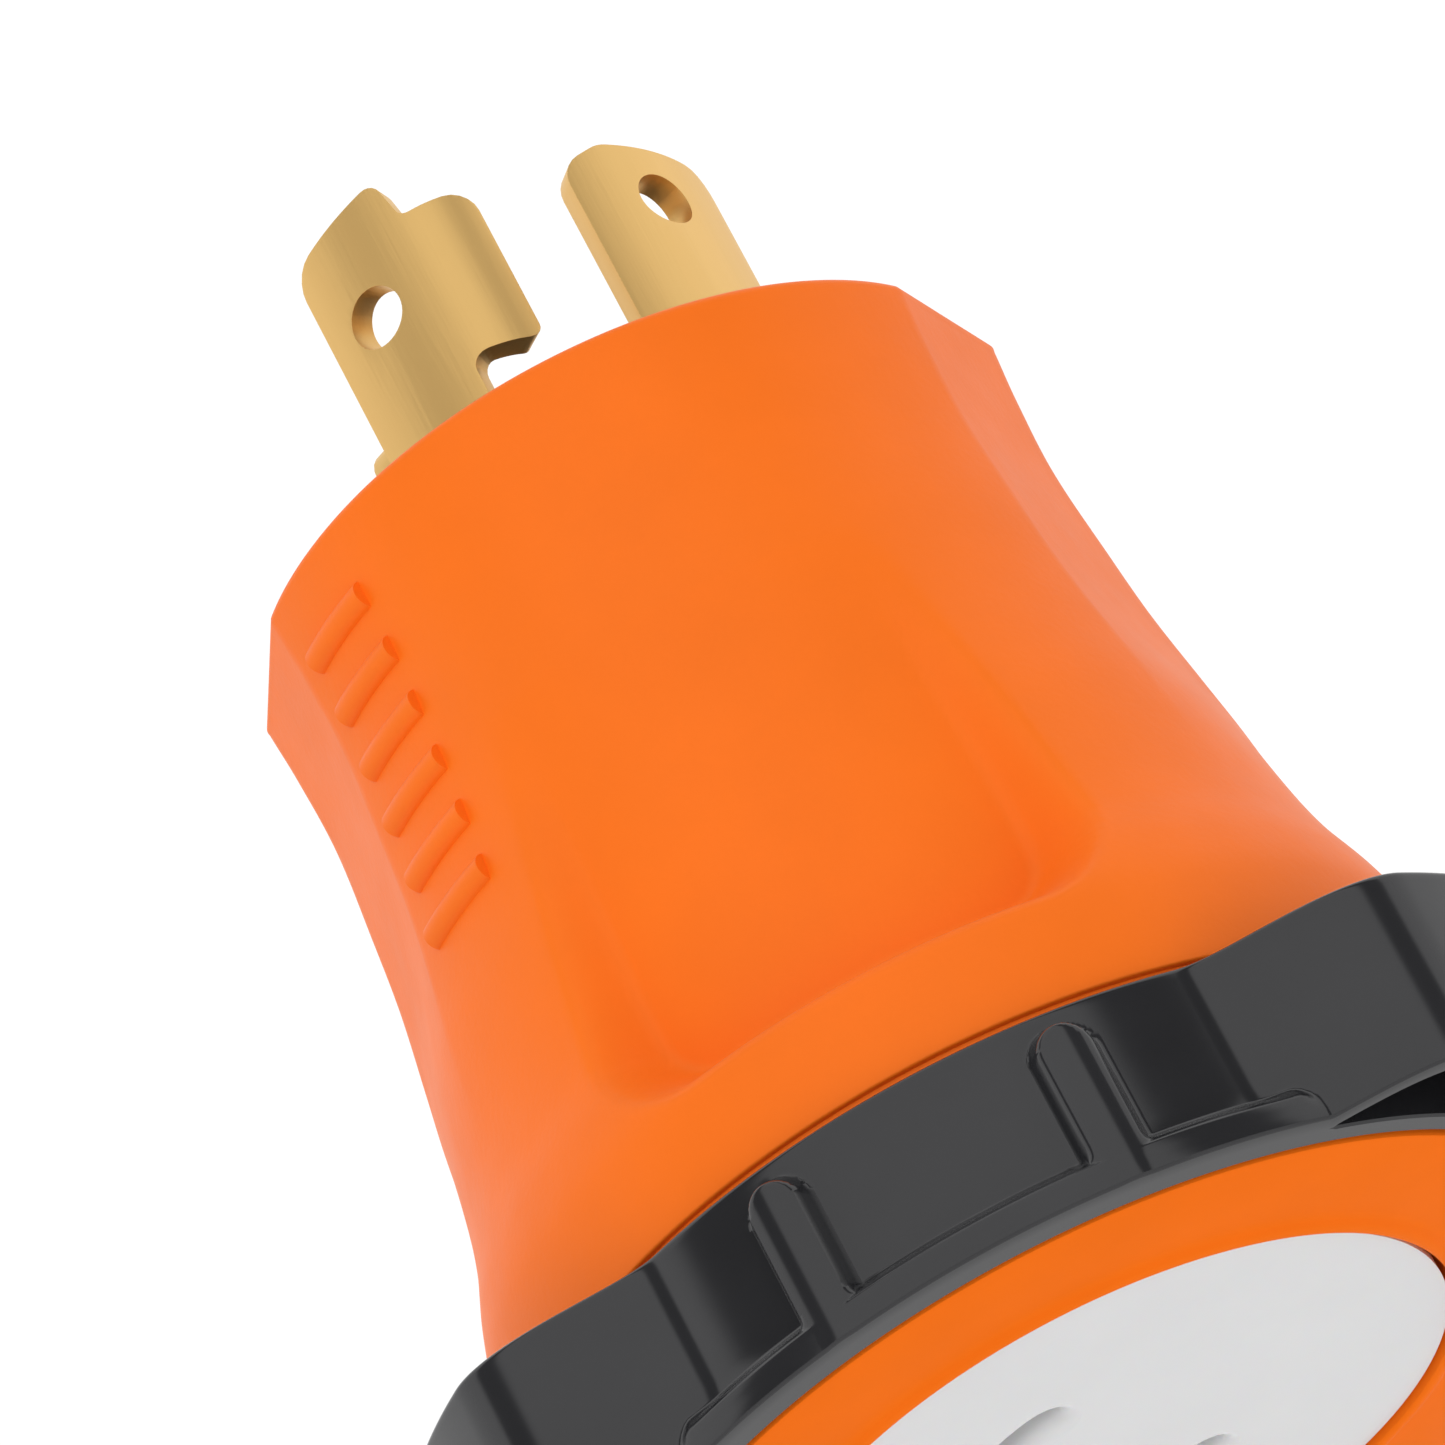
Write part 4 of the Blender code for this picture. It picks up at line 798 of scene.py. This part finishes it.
@dataclass
class LockingRing(Assembly):
    """The captive ring: three lobes hollow from the front, a ledge, and pairs of finger ribs."""

    valley_radius: float = 33.4 * MM
    lobe_radius: float = 40.4 * MM
    lobes: int = 3
    lobe_angle: float = 88.0
    lobe_flat: float = 9.0
    lobe_foot: float = 29.0
    ledge_radius: float = 35.0 * MM
    ledge_height: float = 1.8 * MM
    ledge_fillet: float = 1.3 * MM
    ledge_end: float = 0.8 * MM
    back_lip: float = 2.0 * MM
    lobe_wall: float = 1.6 * MM
    lobe_back: float = 2.6 * MM
    rib_angle: float = 16.0
    rib_half_width: float = 2.1 * MM
    rib_top: float = 11.4 * MM
    rib_crown: float = 0.45 * MM
    rib_fade: float = 0.35 * MM
    back_fillet: float = 0.4 * MM
    front_fillet: float = 0.25 * MM
    crease: float = 0.1 * MM
    rib_side: Point2 = (0.55 * MM, 0.3 * MM)  # how far its wall spreads in and out
    bore_mouth: float = 0.25 * MM
    bore_land: float = 0.9 * MM
    bore_relief: float = 1.4 * MM
    runout: float = 0.4 * MM
    hollow_fade: float = 0.3 * MM
    hollow_edge: float = 0.15 * MM
    thread_start: float = 1.9 * MM
    thread_pitch: float = 3.2 * MM
    thread_turns: float = 2.5
    thread_depth: float = 0.45 * MM
    thread_ridge: float = 0.5 * MM
    segments: int = 840

    def outline(self, angle: float) -> float:
        """The outline's radius: three lobes that rise smoothly out of a round valley."""
        pitch = 360.0 / self.lobes
        away = abs((angle - self.lobe_angle + pitch / 2) % pitch - pitch / 2)
        rise = 1 - smoothstep(self.lobe_flat, self.lobe_foot, away)
        return self.valley_radius + (self.lobe_radius - self.valley_radius) * rise

    def outside(self, angle: float, height: float) -> float:
        """The outer wall's radius, with the ledge and the finger ribs.

        Args:
            angle: Angle in degrees.
            height: Height above the ring's front.

        Returns:
            The radius.
        """
        radius = self.outline(angle)
        step = self.ledge_radius - radius
        if step > 0:
            top = self.ledge_height * math.sqrt(min(step / self.ledge_end, 1.0))
            radius += step * (1 - smoothstep(top - self.crease, top + self.ledge_fillet, height))
        pitch = 360.0 / self.lobes
        from_valley = abs((angle - self.lobe_angle) % pitch - pitch / 2)
        beside = math.radians(from_valley - self.rib_angle) * self.ledge_radius
        above = max(height - (self.rib_top - self.rib_half_width), 0.0)
        away = math.hypot(beside, above) - self.rib_half_width
        crown = self.rib_crown * min(abs(beside) / self.rib_half_width, 1.0) ** 2
        stand = self.ledge_radius + self.crease - crown - radius
        if stand > 0:
            inner, outer = self.rib_side
            radius += stand * (1 - smoothstep(-inner, outer, away))
        return radius

    def heights(self) -> list[float]:
        """Heights of the outer wall's rows, closer together at the ledge and the ribs' tops."""
        low, high = self.front_fillet, self.ring_height() - self.back_fillet
        ledge, rib = self.ledge_height - self.crease, self.rib_top - self.rib_half_width
        soft, over = self.ledge_height + self.ledge_fillet, self.rib_top + self.rib_fade
        return [*evenly(low, ledge, 3), *evenly(ledge, soft, 16), *evenly(soft, rib, 8),
                *evenly(rib, over, 18), *evenly(over, high, 2)]

    def ring_height(self) -> float:
        """The ring's length along the axis."""
        return self.layout.ring_top - self.layout.flange

    def build(self) -> None:
        """Makes the ring as one shell, and the thread in its bore."""
        angles = evenly(0, 360, self.segments)
        base, tall = self.layout.flange, self.ring_height()
        rows = []

        def row(reach: Callable[[float], float], height: Callable[[float], float] | float) -> None:
            """Adds a row from a radius and a height above the front, each by angle."""
            rows.append([polar(reach(a), a, base + (height(a) if callable(height) else height))
                         for a in angles])

        for inset, rise in quarter(self.front_fillet, 4)[:-1]:
            row(lambda a, i=inset: self.outside(a, 0) - i, rise)
        for height in self.heights():
            row(lambda a, h=height: self.outside(a, h), height)
        for drop, inset in quarter(self.back_fillet, 5):
            row(lambda a, i=inset: self.outline(a) - i, tall - drop)

        lip = self.layout.neck_radius + LIP_CLEARANCE
        bore = self.layout.collar_radius + RING_CLEARANCE
        root, step, mouth = bore + self.thread_depth, tall - self.back_lip, self.bore_mouth
        for radius, height in (
            (lip + EDGE, tall), (lip, tall - EDGE), (lip, step), (bore, step),
            (bore, step - self.runout), (root, step - 2 * self.runout), (root, self.bore_relief),
            (bore, self.bore_land), (bore, mouth), (bore + mouth, 0),
        ):
            row(lambda a, r=radius: r, height)

        inner, depth, soft = bore + self.lobe_wall, tall - self.lobe_back, self.hollow_edge

        def gap(angle: float) -> float:
            """The lobe's hollow, across, at an angle."""
            return max(self.outline(angle) - self.lobe_wall - inner, 0.0)

        def share(angle: float) -> float:
            """How much of a hollow there is at an angle."""
            return smoothstep(0.0, self.hollow_fade, gap(angle))

        row(lambda a: inner - soft * share(a), 0.0)
        row(lambda a: inner, lambda a: soft * share(a))
        row(lambda a: inner, lambda a: depth * share(a))
        row(lambda a: inner + gap(a), lambda a: depth * share(a))
        row(lambda a: inner + gap(a), lambda a: soft * share(a))
        row(lambda a: inner + gap(a) + soft * share(a), 0.0)
        self.wardrobe.dress(skin("lobed_ring", rows), RING_BLACK, Body.RING, "locking_ring")
        self.build_thread(root)

    def build_thread(self, root: float) -> None:
        """Sweeps the thread's ridge along a helix in the bore.

        Args:
            root: Radius of the thread's root.
        """
        rig = NodeRig("ring_thread", {
            "Crest": root - self.thread_depth, "Ridge": self.thread_ridge,
            "Turns": self.thread_turns, "Length": self.thread_pitch * self.thread_turns,
            "Start": self.layout.flange + self.thread_start, "Steps": 96,
        })
        middle = maths(rig.tree, "ADD", rig.size("Crest"), rig.size("Ridge"))
        path = rig.node("CurveSpiral", Resolution=rig.size("Steps"), Rotations=rig.size("Turns"),
                        Start_Radius=middle, End_Radius=middle, Height=rig.size("Length"))
        lift = rig.tree.nodes.new("ShaderNodeCombineXYZ")
        rig.tree.links.new(rig.size("Start"), lift.inputs["Z"])
        raised = rig.node("Transform", Geometry=path.outputs[0], Translation=lift.outputs[0])
        section = rig.node("CurvePrimitiveCircle", Resolution=6, Radius=rig.size("Ridge"))
        swept = rig.node("CurveToMesh", Curve=raised.outputs[0], Profile_Curve=section.outputs[0],
                         Fill_Caps=True)
        ridge_piece = rig.apply(piece("ring_thread", bpy.data.meshes.new("ring_thread")),
                                swept.outputs[0], self.wardrobe.materials[RING_BLACK.key])
        self.wardrobe.dress(ridge_piece, RING_BLACK, Body.RING)


@dataclass
class SocketEnd(Assembly):
    """The flange with its raised lip, the white face, and the seals behind them."""

    face_radius: float = 22.2 * MM
    face_clearance: float = 0.4 * MM
    lip_section: Section = (  # millimetres out from the bore and up from the lip's front
        (0.0, 0.22), (0.05, 0.12), (0.2, 0.02), (0.4, 0.0), (0.62, 0.03), (0.85, 0.14), (1.05, 0.3),
        (1.25, 0.42), (1.55, 0.48),
    )
    lip_foot: float = 1.9 * MM
    rim: float = 0.25 * MM
    washer_edge: float = 0.12 * MM
    slot_circle: float = 8.7 * MM
    slot_width: float = 2.4 * MM
    slot_half: float = 18.0
    slot_angles: tuple[float, ...] = (-127.0, 153.0, 73.0)
    slot_edge: float = 0.2 * MM
    slot_mouth: float = 1.25 * MM
    skirt: float = 2.5 * MM
    skirt_wall: float = 1.0 * MM
    skirt_overlap: float = 0.1 * MM

    def build(self) -> None:
        """Makes the collar, the face, the slip washer and the round seal."""
        self.build_collar()
        self.build_face()
        self.build_washer()
        low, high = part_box("neck_o_ring")
        half, middle = (high.z - low.z) / 2, (high.z + low.z) / 2
        seal = turned("round_seal", [
            (high.x - half + half * math.cos(t), middle + half * math.sin(t))
            for t in evenly(-math.pi / 2, 1.5 * math.pi, 20)])
        self.wardrobe.dress(seal, SEAL, Body.PLUG, "neck_o_ring")

    def build_collar(self) -> None:
        """Turns the collar: its flange, the spigot behind it, and the raised lip."""
        lay, rim = self.layout, self.rim
        outer, spigot = lay.collar_radius, lay.socket_bore - GAP
        bore = self.face_radius + self.face_clearance
        collar = turned("flanged_collar", (
            (outer - rim, lay.flange), (outer - 0.28 * rim, lay.flange + 0.28 * rim),
            (outer, lay.flange + rim), (outer, lay.collar_back - BREAK),
            (outer - BREAK, lay.collar_back), (spigot, lay.collar_back),
            (spigot, lay.spigot_top - BREAK), (spigot - BREAK, lay.spigot_top),
            (bore, lay.spigot_top),
            *((bore + out * MM, lay.lip + up * MM) for out, up in self.lip_section),
            (bore + self.lip_foot, lay.flange),
        ), steps=256)
        self.wardrobe.dress(collar, FLANGE_ORANGE, Body.PLUG, "socket_collar")

    def build_washer(self) -> None:
        """Turns the slip washer between the collar's back and the ring's lip."""
        low, high = (corner.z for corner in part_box("slip_washer"))
        outer = self.layout.collar_radius + RING_CLEARANCE - GAP
        inner, edge = self.layout.neck_radius + LIP_CLEARANCE, self.washer_edge
        washer = turned("washer_disc", (
            (outer - edge, low), (outer, low + edge), (outer, high - edge), (outer - edge, high),
            (inner + edge, high), (inner, high - edge), (inner, low + edge), (inner + edge, low),
        ))
        self.wardrobe.dress(washer, NYLON, Body.WASHER, "slip_washer")

    def slot_outline(self, middle: float, grow: float) -> list[Vector]:
        """A slot's outline.

        Args:
            middle: Angle of the slot's middle.
            grow: How much wider than the slot it is, all round.

        Returns:
            The outline's points, at height 0.
        """
        start, end = middle - self.slot_half, middle + self.slot_half
        half = self.slot_width / 2 + grow
        outline = []
        for first, last, side in ((start, end, 1), (end, start, -1)):
            turn = last if side > 0 else last + 180
            outline += [polar(self.slot_circle + side * half, a)
                        for a in [*evenly(first, last, 24), last]]
            outline += [polar(self.slot_circle, last) + polar(half, turn + a)
                        for a in evenly(15, 180, 11)]
        return outline

    def slot_cutter(self, middle: float, low: float, high: float) -> bpy.types.Object:
        """The solid that opens a slot, its mouth rounded over at the front.

        Args:
            middle: Angle of the slot's middle.
            low: Height of the face's front.
            high: Height of the face's back.

        Returns:
            The solid.
        """
        mouth = self.slot_mouth
        levels = [(mouth, low - 1 * MM), (0.0, high + 1 * MM)]
        levels[1:1] = [(grow, low + rise) for grow, rise in quarter(mouth, 8)]
        mesh = bpy.data.meshes.new("slot")
        with edited(mesh) as work:
            rows = [[work.verts.new(point + Vector((0, 0, height)))
                     for point in self.slot_outline(middle, grow)] for grow, height in levels]
            for under, over in zip(rows, rows[1:]):
                for i in range(len(under)):
                    work.faces.new((under[i - 1], under[i], over[i], over[i - 1]))
            for end in (rows[0], rows[-1]):
                work.faces.new(end)
            bmesh.ops.recalc_face_normals(work, faces=work.faces[:])
        return piece("slot", mesh)

    def build_face(self) -> None:
        """Makes the white face with its arc-shaped slots."""
        low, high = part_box("socket_face")
        radius = self.face_radius
        disc = plate("socket_front", [circle(0, 0, radius, 256)], low.z, high.z, self.slot_edge)
        front = piece("socket_front", disc)
        for middle in self.slot_angles:
            cut(front, self.slot_cutter(middle, low.z, high.z))
        mesh = front.data
        finish_mesh(mesh, 30.0)
        flatten(mesh)
        wall, top = radius - self.skirt_wall, high.z - self.skirt_overlap
        skirt = turned("skirt", ((high.x, high.z - self.skirt), (high.x, top), (wall, top),
                                 (wall, high.z - self.skirt)))
        with edited(mesh) as work:
            work.from_mesh(skirt.data)
        bpy.data.objects.remove(skirt)
        self.wardrobe.dress(front, FACE_WHITE, Body.PLUG, "socket_face")


@dataclass
class Blade:
    """One locking blade: its node, its place, its width and height, and whether it is hooked."""

    node: str
    angle: float
    width: float
    height: float
    hooked: bool = False


@dataclass
class PlugEnd(Assembly):
    """The three curved blades and the face they stand in, with its screws."""

    blades: tuple[Blade, ...] = (
        Blade("ground_blade", -120.0, 8.2 * MM, 22.8 * MM, True),
        Blade("line_blade", -37.0, 12.2 * MM, 19.4 * MM),
        Blade("neutral_blade", 121.0, 12.2 * MM, 19.4 * MM),
    )
    blade_circle: float = 14.0 * MM
    thickness: float = 1.8 * MM
    edge: float = 0.28 * MM
    hook_length: float = 4.2 * MM
    hook_bend: float = 4.6 * MM
    hook_step: float = 3.2 * MM
    hook_bottom: float = 8.6 * MM
    hole_radius: float = 1.95 * MM
    hole_height: float = 15.0 * MM
    slot_clearance: float = 0.3 * MM
    tip_corner: float = 2.2 * MM
    tip_slant: float = 3.0 * MM
    tip_drops: Point2 = (1.0 * MM, 1.2 * MM)  # at the leading and the trailing edge
    notch_corner: float = 0.9 * MM
    hook_corners: Point2 = (0.8 * MM, 1.6 * MM)  # at the hook's lower and upper end
    hook_rise: float = 0.6 * MM
    step_corner: float = 0.6 * MM
    step_lean: Point2 = (0.2 * MM, 0.4 * MM)  # the step's foot and top beside the blade's edge
    bend_spacing: float = 0.35 * MM
    face_edge: float = 0.25 * MM
    screw_circle: float = 19.2 * MM
    screw_angle: float = 25.0
    screw_count: int = 3
    screw_radius: float = 1.65 * MM
    shank_radius: float = 1.1 * MM
    head_height: float = 1.8 * MM
    head_section: Section = (  # share of the head's radius, and millimetres below its top
        (1.0, 0.5), (0.93, 0.2), (0.72, 0.03), (0.5, 0.0), (0.0, 0.0),
    )
    recess: tuple[float, float] = (1.35, 0.3)  # the cross's length and width, over the radius
    recess_depth: float = 0.7 * MM

    def wrapped(self, blade: Blade, along: float, out: float, height: float) -> Vector:
        """Wraps a place on a flat blade round the blade circle, and its hook round a tighter bend.

        Args:
            blade: The blade.
            along: Distance along the arc from the blade's middle.
            out: Distance outwards from the blade's middle plane.
            height: Height along the axis.

        Returns:
            The place.
        """
        hook_from = blade.width / 2
        if not blade.hooked or along <= hook_from:
            turn = blade.angle + math.degrees(along / self.blade_circle)
            return polar(self.blade_circle + out, turn, height)
        start = blade.angle + math.degrees(hook_from / self.blade_circle)
        turn = start + math.degrees((along - hook_from) / self.hook_bend)
        centre = polar(self.blade_circle - self.hook_bend, start, height)
        return centre + polar(self.hook_bend + out, turn)

    def outline(self, blade: Blade, bottom: float) -> list[Point2]:
        """A flat blade's outline, from its foot to its tip."""
        half = blade.width / 2
        tip = self.layout.plug_top + blade.height
        lead, trail = self.tip_drops
        corners = [(-half, bottom, 0), (half, bottom, 0)]
        if blade.hooked:
            hook, step = half + self.hook_length, tip - self.hook_step
            notch = self.layout.plug_top + self.hook_bottom
            (low, high), (foot, top) = self.hook_corners, self.step_lean
            corners += [(half, notch, self.notch_corner), (hook, notch - self.hook_rise, low),
                        (hook, step, high), (half + foot, step, self.step_corner),
                        (half - top, tip, self.notch_corner)]
        else:
            corners += [(half, tip - lead, self.tip_corner),
                        (self.tip_slant - half, tip, self.tip_corner)]
        return rounded([*corners, (-half, tip - trail, self.tip_corner)])

    def build_blade(self, blade: Blade) -> None:
        """Makes one blade: a plate with rounded edges and a hole, wrapped to its curve."""
        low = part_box(blade.node)[0].z
        hole = circle(0, self.layout.plug_top + self.hole_height, self.hole_radius)
        mesh = plate(blade.node, [self.outline(blade, low), hole], -self.thickness / 2,
                     self.thickness / 2, self.edge)
        with edited(mesh) as work:
            left, right = (pick(v.co.x for v in work.verts) for pick in (min, max))
            count = int((right - left) / self.bend_spacing)
            for at in evenly(left + self.bend_spacing, right, count):
                everything = work.verts[:] + work.edges[:] + work.faces[:]
                bmesh.ops.bisect_plane(work, geom=everything, dist=1e-7, plane_co=(at, 0, 0),
                                       plane_no=(1, 0, 0))
            for vert in work.verts:
                along, height, out = vert.co
                vert.co = self.wrapped(blade, along, out, height)
            bmesh.ops.triangulate(work, faces=work.faces[:])
            bmesh.ops.reverse_faces(work, faces=work.faces[:])
        finish_mesh(mesh, 35.0)
        self.wardrobe.dress(piece("curved_" + blade.node, mesh), BRASS, Body.PLUG, blade.node)

    def slot(self, blade: Blade) -> list[Point2]:
        """The outline of a blade's way through the face."""
        half = blade.width / 2 + self.slot_clearance
        end = half + (self.hook_length if blade.hooked else 0)
        side = self.thickness / 2 + self.slot_clearance
        places = [*evenly(-half, end, 30), end]
        outer = [tuple(self.wrapped(blade, x, side, 0).xy) for x in places]
        return outer + [tuple(self.wrapped(blade, x, -side, 0).xy) for x in reversed(places)]

    def build_face(self) -> None:
        """Makes the black face that the blades come out of."""
        low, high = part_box("plug_face")
        holes = []
        for i in range(self.screw_count):
            centre = polar(self.screw_circle, self.screw_angle + 360 * i / self.screw_count)
            holes.append(circle(centre.x, centre.y, self.screw_radius + GAP, 32))
        holes += [self.slot(blade) for blade in self.blades]
        mesh = plate("plug_front", [circle(0, 0, high.x, 192), *holes], low.z, high.z,
                     self.face_edge)
        finish_mesh(mesh)
        flatten(mesh)
        self.wardrobe.dress(piece("plug_front", mesh), INSULATOR, Body.PLUG, "plug_face")

    def build_screws(self) -> None:
        """Makes one cross-head screw, and places copies of it round the face."""
        low, top = (corner.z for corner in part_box("plug_screw_1"))
        radius, shank, head = self.screw_radius, self.shank_radius, top - self.head_height
        section = [
            (0.0, low), (0.6 * shank, low), (shank, low + 0.6 * shank), (shank, head),
            (radius, head), *((radius * out, top - down * MM) for out, down in self.head_section),
        ]
        screw = turned("cross_head_screws", section, steps=40)
        length, width = self.recess
        for turn in (0.0, math.pi / 2):
            recess = bpy.data.meshes.new("recess")
            with edited(recess) as work:
                bmesh.ops.create_cube(work, size=1.0)
                bmesh.ops.scale(work, vec=(length * radius, width * radius, 2 * self.recess_depth),
                                verts=work.verts)
            recess.transform(Matrix.Translation((0, 0, top)) @ Matrix.Rotation(turn, 4, "Z"))
            cut(screw, piece("recess", recess))
        finish_mesh(screw.data, 30.0)
        rig = NodeRig("screws_on_a_circle", {
            "Count": self.screw_count, "Circle": self.screw_circle,
            "First angle": math.radians(self.screw_angle),
        })
        spots = rig.node("MeshCircle", Vertices=rig.size("Count"), Radius=rig.size("Circle"))
        turn = rig.tree.nodes.new("ShaderNodeCombineXYZ")
        rig.tree.links.new(rig.size("First angle"), turn.inputs["Z"])
        ring = rig.node("Transform", Geometry=spots.outputs[0], Rotation=turn.outputs[0])
        placed = rig.node("InstanceOnPoints", Points=ring.outputs[0], Instance=rig.size("Geometry"))
        rig.apply(screw, placed.outputs[0], self.wardrobe.materials[STEEL.key])
        names = [f"plug_screw_{i + 1}" for i in range(self.screw_count)]
        self.wardrobe.dress(screw, STEEL, Body.PLUG, *names)

    def build(self) -> None:
        """Makes the blades, the face and its screws."""
        for blade in self.blades:
            self.build_blade(blade)
        self.build_face()
        self.build_screws()


def dress_inner_parts(wardrobe: Wardrobe, nodes: dict[str, bpy.types.Object]) -> None:
    """Gives the nodes that stay as they are their finishes.

    Args:
        wardrobe: The finishes.
        nodes: The frame's nodes.
    """
    screws = [f"{kind}_screw_{i + 1}" for kind in ("carrier", "contact", "terminal")
              for i in range(3)]
    for finish, names in (
        (INSULATOR, ["contact_carrier", "blade_retainer"]),
        (SEAL, ["collar_gasket"]),
        (BRASS, ["ground_contact", "neutral_contact", "line_contact"]),
        (STEEL, screws),
        (BOARD, ["surge_board"]),
        (EPOXY, ["varistor_1", "varistor_2", "varistor_3"]),
        (CERAMIC, ["thermal_fuse"]),
        (SLEEVE_BLACK, ["line_lead"]),
        (SLEEVE_WHITE, ["neutral_lead"]),
        (SLEEVE_GREEN, ["ground_lead"]),
    ):
        wardrobe.repaint(nodes, finish, names)


# --- the studio -----------------------------------------------------------------------------


@dataclass
class SoftBox:
    """An area light that points at the adapter."""

    name: str
    azimuth: float
    elevation: float
    distance: float
    size: float
    power: float
    colour: tuple[float, float, float] = (1.0, 1.0, 1.0)

    def build(self, target: Vector) -> None:
        """Places the light.

        Args:
            target: The point it faces.
        """
        data = bpy.data.lights.new(self.name, "AREA")
        data.shape = "SQUARE"
        data.size = self.size
        data.energy = self.power
        data.color = self.colour
        lamp = bpy.data.objects.new(self.name, data)
        bpy.context.scene.collection.objects.link(lamp)
        turn, rise = math.radians(self.azimuth), math.radians(self.elevation)
        flat = math.cos(rise)
        away = Vector((math.sin(turn) * flat, -math.cos(turn) * flat, math.sin(rise)))
        lamp.location = target + away * self.distance
        lamp.rotation_euler = away.to_track_quat("Z", "Y").to_euler()
        lamp.visible_glossy = False


@dataclass
class Studio:
    """A white room with two dark flags, soft boxes, a pale floor and the camera."""

    target: Vector = field(default_factory=lambda: Vector((-0.24 * MM, 0.0, 55.15 * MM)))
    distance: float = 0.7389
    elevation: float = -26.68
    roll: float = -27.922
    lens: float = 298.96
    sensor: float = 36.0
    floor_height: float = -0.7
    floor_size: float = 8.0
    flag_middle: float = 50.0
    flag_half: float = 11.0
    flag_soft: float = 3.0
    flag_shade: float = 0.12
    room: float = 1.05
    backdrop: float = 1.05
    near: float = 0.01
    far: float = 50.0
    paper: float = 0.9
    boxes: tuple[SoftBox, ...] = (
        SoftBox("key_box", -25.0, 15.0, 0.9, 0.7, 1.2),
        SoftBox("fill_box", 30.0, -45.0, 0.9, 0.6, 0.6),
    )

    def build_camera(self) -> None:
        """Places the camera below the adapter's front, rolled and with a long lens."""
        turn, roll = math.radians(self.elevation), math.radians(self.roll)
        back = Vector((0.0, -math.cos(turn), math.sin(turn)))
        level = Vector((1.0, 0.0, 0.0))
        upright = back.cross(level)
        right = level * math.cos(roll) + upright * math.sin(roll)
        up = upright * math.cos(roll) - level * math.sin(roll)
        data = bpy.data.cameras.new("camera")
        data.lens, data.sensor_width = self.lens, self.sensor
        data.clip_start, data.clip_end = self.near, self.far
        camera = bpy.data.objects.new("camera", data)
        bpy.context.scene.collection.objects.link(camera)
        camera.matrix_world = Matrix.Translation(self.target + back * self.distance) @ Matrix(
            (right, up, back)).transposed().to_4x4()
        bpy.context.scene.camera = camera

    def build_floor(self) -> None:
        """Lays the pale floor well below the camera."""
        mesh = bpy.data.meshes.new("floor")
        with edited(mesh) as work:
            bmesh.ops.create_grid(work, x_segments=1, y_segments=1, size=self.floor_size / 2)
        mesh.transform(Matrix.Translation((0, 0, self.floor_height)))
        material = bpy.data.materials.new("floor_paper")
        material.use_nodes = True
        shader = material.node_tree.nodes["Principled BSDF"]
        shader.inputs["Base Color"].default_value = (*(self.paper,) * 3, 1)
        shader.inputs["Roughness"].default_value = self.paper
        mesh.materials.append(material)
        piece("floor", mesh)

    def build_room(self) -> None:
        """Makes the white surroundings, with a soft dark flag on either side of the front."""
        world = bpy.data.worlds.new("room")
        world.use_nodes = True
        bpy.context.scene.world = world
        tree = world.node_tree
        nodes, links = tree.nodes, tree.links
        step = partial(maths, tree)
        ray = nodes.new("ShaderNodeTexCoord")
        axes = nodes.new("ShaderNodeSeparateXYZ")
        links.new(ray.outputs["Generated"], axes.inputs[0])
        front = step("MULTIPLY", axes.outputs["Y"], -1.0)
        side = step("ABSOLUTE", step("ARCTAN2", axes.outputs["X"], front))
        off = step("ABSOLUTE", step("SUBTRACT", side, math.radians(self.flag_middle)))
        edge = nodes.new("ShaderNodeMapRange")
        edge.interpolation_type = "SMOOTHSTEP"
        edge.inputs["From Min"].default_value = math.radians(self.flag_half - self.flag_soft)
        edge.inputs["From Max"].default_value = math.radians(self.flag_half + self.flag_soft)
        edge.inputs["To Min"].default_value = self.flag_shade
        edge.inputs["To Max"].default_value = self.room
        links.new(off, edge.inputs["Value"])
        path = nodes.new("ShaderNodeLightPath")
        seen = nodes.new("ShaderNodeMix")
        links.new(path.outputs["Is Camera Ray"], seen.inputs[0])
        links.new(edge.outputs["Result"], seen.inputs[2])
        seen.inputs[3].default_value = self.backdrop
        links.new(seen.outputs[0], nodes["Background"].inputs["Strength"])
        nodes["Background"].inputs["Color"].default_value = (1, 1, 1, 1)

    def build(self) -> None:
        """Sets up the whole studio."""
        self.build_camera()
        self.build_floor()
        self.build_room()
        for box in self.boxes:
            box.build(self.target)
        scene = bpy.context.scene
        scene.view_settings.view_transform = "Standard"
        scene.view_settings.look = "None"


def main() -> None:
    """Loads the frame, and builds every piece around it."""
    logging.basicConfig(level=logging.INFO, format="%(name)s: %(message)s")
    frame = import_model()
    Studio().build()
    layout = Layout.read()
    wardrobe = Wardrobe()
    for kind in (Grip, LockingRing, SocketEnd, PlugEnd):
        kind(layout, wardrobe).build()
    dress_inner_parts(wardrobe, frame["nodes"])


if __name__ == "__main__":
    main()
